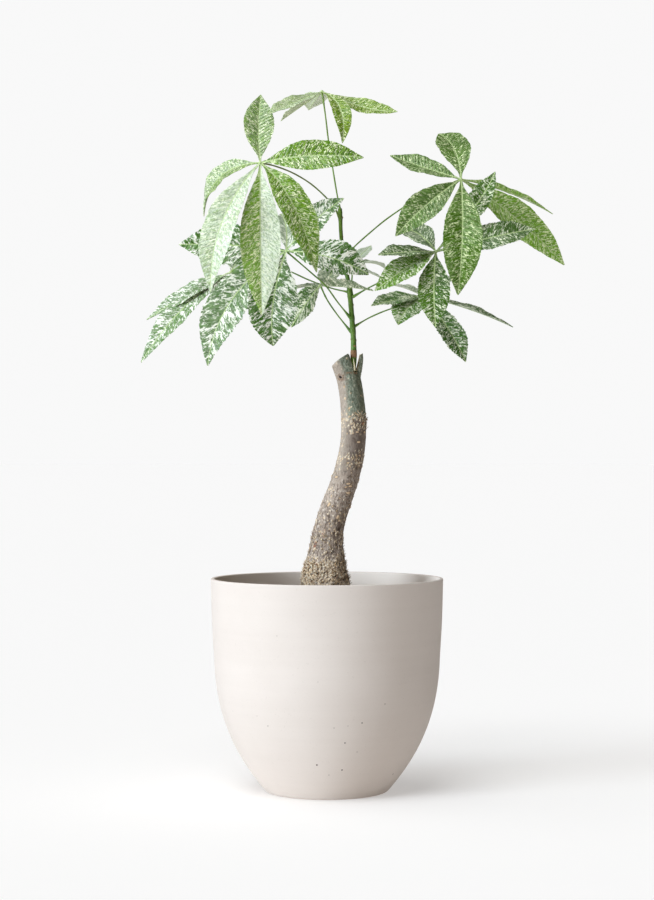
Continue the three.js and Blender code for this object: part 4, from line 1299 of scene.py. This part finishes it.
def outline_share(t):
    """The half width along a leaflet as a smooth curve through the solid's stations."""
    knots = [(place, 0, share) for place, share in BLADE_OUTLINE]
    fine = smooth_line(knots, np.linspace(0, 1, 400))[0]
    return np.interp(t, fine[:, 0], fine[:, 2])


def on_rib(hub, middle, tip, t):
    """Points of the midrib: a curve that passes hub, middle and tip at 0, 0.5 and 1."""
    t = np.asarray(t)[:, None]
    return hub * (1 - t) * (1 - 2 * t) + middle * 4 * t * (1 - t) + tip * t * (2 * t - 1)


def rib_frame(hub, middle, tip, face):
    """The midrib's points, and at each of them the directions across and up."""
    across = unit(np.cross(unit(tip - hub), face))
    tangents = unit(on_rib(hub, middle, tip, ALONG + 0.01) - on_rib(hub, middle, tip, ALONG - 0.01))
    sides = unit(across - tangents * (tangents @ across)[:, None])
    return on_rib(hub, middle, tip, ALONG), sides, np.cross(sides, tangents)


print("half widths along a leaflet:", outline_share(np.linspace(0, 1, 6)).round(2))

# %% [markdown]
# ## A leaflet's relief
# Each half of the blade arches, its margin waves, and the blade puffs up between the side veins, which
# run out and forward to the margin. The margin is toothed where veins end in it. All of this is a lift of
# the sheet and a stretch across it, worked out for every point at once from its place along and across.

# %% Veins, waves and teeth
BLADE_FOLD = 14             # degrees
BLADE_THICKNESS, MARGIN_THICKNESS = 0.8, 0.45       # mm
BLADE_WAVE, BLADE_WAVES, BLADE_LAG = 0.035, 2.5, 1.9    # height, as a share of the width, number, and lag
VEIN_PAIRS = 21             # side veins on each half
VEIN_SLOPE = 0.62           # how far a side vein runs forward for each millimetre out
PUFF = 0.45                 # mm that the blade rises between two side veins
MIDRIB = 0.55               # mm that the midrib stands out
TEETH = {"c": 0.055, "d": 0.045, "e": 0.055, "f": 0.035, "g": 0.065, "h": 0.035}    # share of half a width
FEW_TEETH = 0.02            # on the other leaves


def veins_at(length, out):
    """How far along each point is, in mm and counted in side veins. out is how far off the midrib it is."""
    along = length * ALONG[:, None] + 0 * ACROSS
    return along, (along - VEIN_SLOPE * np.abs(out)) / (length / VEIN_PAIRS)


def tooth_stretch(vein, number, teeth):
    """How much wider or narrower the blade is at each point, so that its margin is toothed."""
    side = np.where(ACROSS > 0, 1.0, -1.0)
    bites = 0.5 * np.sin(2 * math.pi * vein) + 0.3 * np.sin(2 * math.pi * vein * 0.43 + number * side)
    bites += 0.3 * np.sin(2 * math.pi * vein * 1.9 + 2 * number * side)
    return 1 + teeth * bites * np.abs(ACROSS) ** 3 * step(ALONG, 0.04, 0.2)[:, None]


def blade_lift(width, half, out, vein, phase, number):
    """How far each point lies above the midrib's own plane."""
    widths = width * outline_share(ALONG)[:, None]
    fade = step(np.abs(out), 0.6, 3.5) * np.clip(width / 40, 0.4, 1.2)
    puff = PUFF * fade * (0.5 - 0.5 * np.cos(2 * math.pi * vein)) * (1 - np.abs(ACROSS) ** 6)
    turn = 2 * math.pi * BLADE_WAVES * ALONG[:, None] + phase + np.where(ACROSS > 0, BLADE_LAG, 0)
    wave = BLADE_WAVE * widths * np.sin(turn) * np.abs(ACROSS)
    small = 0.012 * widths * np.sin(3.1 * turn + number) * np.abs(ACROSS) ** 2
    arch = 1.35 * np.abs(ACROSS) - 0.35 * ACROSS ** 2
    return half[:, None] * math.tan(math.radians(BLADE_FOLD)) * arch + wave + small + puff


print(VEIN_PAIRS, "pairs of side veins on a leaflet")

# %% [markdown]
# ## Two layers
# A leaflet is thin but solid, so it is a sheet in two layers, joined all round. The layers are closer
# together at the margin. The midrib stands out a little above and more below, as it does on the real
# leaf. Each point carries its place on the leaflet in millimetres, along and across, for the marbling.

# %% A leaflet
def sheet_faces(rows, columns):
    """Faces of an upper and a lower layer, and of the rim that joins them."""
    below = rows * columns
    faces = []
    for i in range(rows - 1):
        for k in range(columns - 1):
            a = i * columns + k
            corner = (a, a + 1, a + columns + 1, a + columns)
            faces.append(corner)
            faces.append(tuple(below + c for c in reversed(corner)))
        left, right = i * columns, i * columns + columns - 1
        faces.append((left, left + columns, below + left + columns, below + left))
        faces.append((right + columns, right, below + right, below + right + columns))
    for k in range(columns - 1):
        tip_edge = (rows - 1) * columns + k
        faces.append((k + 1, k, below + k, below + k + 1))
        faces.append((tip_edge, tip_edge + 1, below + tip_edge + 1, below + tip_edge))
    return faces


SHEET_FACES = sheet_faces(ROWS, len(ACROSS))


def leaflet(shell, hub, tip, middle, width, face, left_half_painted_light, right_half_painted_light, phase, number, teeth):
    """Adds one leaflet to a shell, and gives its length. number makes its pattern its own."""
    hub, tip, middle = (np.array(point, float) for point in (hub, tip, middle))
    points, sides, normals = rib_frame(hub, middle, tip, face)
    length = np.linalg.norm(np.diff(points, axis=0), axis=1).sum()
    half = np.maximum(width / 2 * outline_share(ALONG), BLADE_THICKNESS * 0.6)
    out = half[:, None] * ACROSS
    along, vein = veins_at(length, out)
    lift = blade_lift(width, half, out, vein, phase, number)
    across = (out * tooth_stretch(vein, number, teeth))[:, :, None]
    sheet = points[:, None] + sides[:, None] * across + normals[:, None] * lift[:, :, None]
    thick = MARGIN_THICKNESS + (BLADE_THICKNESS - MARGIN_THICKNESS) * (1 - np.abs(ACROSS) ** 6)
    rib = MIDRIB * np.exp(-(out / (1.25 - 0.7 * ALONG[:, None])) ** 2) * (1.1 - ALONG[:, None])
    upper = sheet + normals[:, None] * (thick / 2 + 0.35 * rib)[:, :, None]
    lower = sheet - normals[:, None] * (thick / 2 + 1.5 * rib)[:, :, None]
    spot = np.stack([along, out, 0 * out + number * 7.7], axis=2)
    # Painted sheen and light for each half of the leaflet.
    pale = np.where(ACROSS > 0, left_half_painted_light, right_half_painted_light) + 0 * out
    both = {"spot": spot.reshape(-1, 3), "pale": pale.ravel(), "margin": (np.abs(ACROSS) + 0 * out).ravel(),
            "veins": vein.ravel()}
    shell.add(np.concatenate([upper.reshape(-1, 3), lower.reshape(-1, 3)]), SHEET_FACES,
              upper=np.repeat([1.0, 0.0], out.size),
              **{key: np.concatenate([values, values]) for key, values in both.items()})
    return length


print(len(SHEET_FACES), "faces on a leaflet")

# %% [markdown]
# ## Marbled leaves
# This tree is variegated: short cream or white worms follow the side veins, thick in some fields between
# veins and missing in others. The worms are the level lines of a noise that is stretched along the veins.
# A broad noise widens them here, until only green islands are left, and closes them there. On the old
# leaves the white also runs in cracks between such islands, which come from a cell texture that is bent
# by a noise. Each leaf has two greens, a light colour and a gloss of its own: young leaves are
# yellow-green and shine, and old ones are darker, whiter and duller.

# %% The pattern of a leaf
LOOKS = {   # deep green, fresh green, light colour, width of worms, fields, size in mm, gloss, cracks
    "t": ("#66891a", "#84a02e", "#f2f7bf", 0.024, 0.10, 1.7, 0.35, 0),
    "a": ("#557d0c", "#759c22", "#f8fccc", 0.020, 0.12, 1.6, 0.50, 0),
    "b": ("#476b0e", "#5f8230", "#e2ecb4", 0.020, 0.10, 1.7, 0.25, 0),
    "c": ("#41691c", "#648746", "#fffdec", 0.002, 0.07, 2.2, 0.25, 0.62),
    "d": ("#4a761f", "#688b48", "#fffdee", 0.002, 0.07, 1.9, 0.30, 0.52),
    "e": ("#40661a", "#587c3a", "#f8f8dc", 0.002, 0.07, 1.8, 0.25, 0.40),
    "f": ("#3c6010", "#4c7022", "#f6fad8", 0.024, 0.14, 1.8, 0.20, 0),
    "g": ("#45701f", "#567e36", "#fafde0", 0.034, 0.16, 1.9, 0.20, 0),
    "h": ("#86a370", "#a3ba88", "#eef3e2", 0.026, 0.14, 2.1, 0.30, 0),
}
HALVES_APART = 31       # how far apart the two halves are in the noises, so that they don't mirror each other


def worms_of(leaf, spot, pale, width, fields, size, cracked):
    """The mask of the light colour, and two noises that the rest of the leaf uses again."""
    along, out, own = spot
    half = own + out.sign() * HALVES_APART
    lean = along - abs(out) * VEIN_SLOPE

    def pattern(length, stretch, layer, detail=1.0, distortion=0.6):
        """A noise that is stretched along the side veins."""
        place = leaf.vector(lean / length, abs(out) / (length * stretch), half + layer)
        return leaf.noise(place, 1.0, detail, 0.6, distortion)

    field = pattern(size * 4.0, 1.5, 9.0)
    gate = pattern(size * 1.4, 1.3, 5.0)
    # Halves with painted light get wider worms, which lightens them further.
    level = width + (field - 0.47) * fields + (gate - 0.5) * 0.20 + abs(pale) * 0.025
    worms = (abs(pattern(size * 1.2, 3.0, 0.0, 1.5, 0.7) - 0.5) - level).step(0.009, -0.009)
    if cracked:
        bend = pattern(size * 1.3, 1.6, 14.0, 2.0)
        islands = leaf.vector(lean / (size * 1.9) + bend * 2.4, abs(out) / (size * 4.4) + bend * 1.2, half)
        edge = leaf.cells(islands, 1.0, "DISTANCE_TO_EDGE")
        wide = 0.045 + (field - 0.5) * cracked + (gate - 0.5) * 0.30
        worms = worms.most((edge - wide).step(0.03, 0.0))
    return worms, gate, pattern(size * 2.2, 2.0, 20.0)


print(len(LOOKS), "looks")

# %% [markdown]
# ## The leaves' colours
# Under the marbling lie two greens, made fresher as painted light on some halves, with a thin line of
# painted shade in the ditch of each side vein. Over it come the halves that are painted pale as a whole,
# a painted sheen, and the light midrib. The underside is a little duller and paler.
# The sheen is that of thin wax: smooth, but broken up by the same noise that widens the worms.

# %% The leaves' finishes
def marbled(name, deep, fresh, cream, width, fields, size, gloss, cracked):
    """A variegated leaf: its two greens and its light colour, how wide, uneven and large its worms are, its
    gloss, and how far white cracks open between its islands."""
    leaf = finish(name)
    along, out, own = leaf.parts(leaf.read("spot", "Vector"))
    pale, inside = leaf.read("pale"), leaf.read("margin").step(1.0, 0.7)
    worms, gate, tone = worms_of(leaf, (along, out, own), pale, width, fields, size, cracked)
    vein_turn = leaf.read("veins") * (2 * math.pi)
    crest, ditch = vein_turn.wave(), (vein_turn + math.pi / 2).wave() ** 8
    rib = (abs(out) / (1.1 - along * 0.004).most(0.3)).step(1.1, 0.6)
    colour = leaf.coats(
        leaf.mix(tone.step(0.46, 0.54), deep, fresh),
        # Painted light: halves below 0 get a fresher green.
        ((0 - pale).most(0), "#8ec23a"),
        # Painted shade: a dark line in the ditch of each side vein.
        (ditch * 0.3 * inside, "#2c4510"),
        (worms * 0.95, cream),
        # Painted sheen: halves above 0 are painted pale.
        (pale.most(0) * (gate.step(0.38, 0.62) * 0.5 + 0.5), "#eef5e0"),
        (rib * 0.9, "#c2d594"))
    reverse = leaf.mix(0.18, colour, leaf.mix(0.35, fresh, cream))
    height = tone * 0.35 + crest * 0.15 - ditch * 0.45 * inside + worms * 0.12
    return leaf.done({
        "Base Color": leaf.mix(leaf.read("upper").step(0.3, 0.7), reverse, colour),
        "Roughness": 0.24 + gate * 0.12, "Specular IOR Level": gloss, "Normal": leaf.bump(height, 0.0011)})


FINISHES = {name: marbled(f"leaf_{name}", *look) for name, look in LOOKS.items()}
print(len(FINISHES), "leaf finishes")

# %% [markdown]
# ## The hands of leaves
# The leaflets of one leaf grow together at the hub, a small green knob at the stalk's end. They are one
# piece with one finish, and leaves of the same age share a slot name in SLOTS.

# %% The leaves
HUB_RADIUS = 2.1
SLOTS = {"t": "leaf_young", "a": "leaf_young", "b": "leaf_mid", "f": "leaf_mid"}    # or else leaf_white
for name, leaf in LEAVES.items():
    shell = Shell("spot", "pale", "margin", "veins", "upper")
    knob = BALL_POINTS * HUB_RADIUS + leaf["hub"]
    shell.add(knob, BALL_FACES, spot=np.zeros(knob.shape), upper=1.0)
    lengths = []
    for i, (tip, middle, width, face, left, right) in enumerate(leaf["blades"]):
        lengths.append(leaflet(shell, leaf["hub"], tip, middle, width, face or leaf["face"], left, right,
                               i * 1.7, ord(name) + 3.3 * i, TEETH.get(name, FEW_TEETH)))
    shell.piece(f"leaflets_{name}", FINISHES[name], SLOTS.get(name, "leaf_white"),
                f"leaf_{name}_blades", crease=50)
    print("its leaflets are", [round(length) for length in lengths], "mm long")

# %% [markdown]
# ## Size
# The finer pieces must not be larger than the solids they stand for.
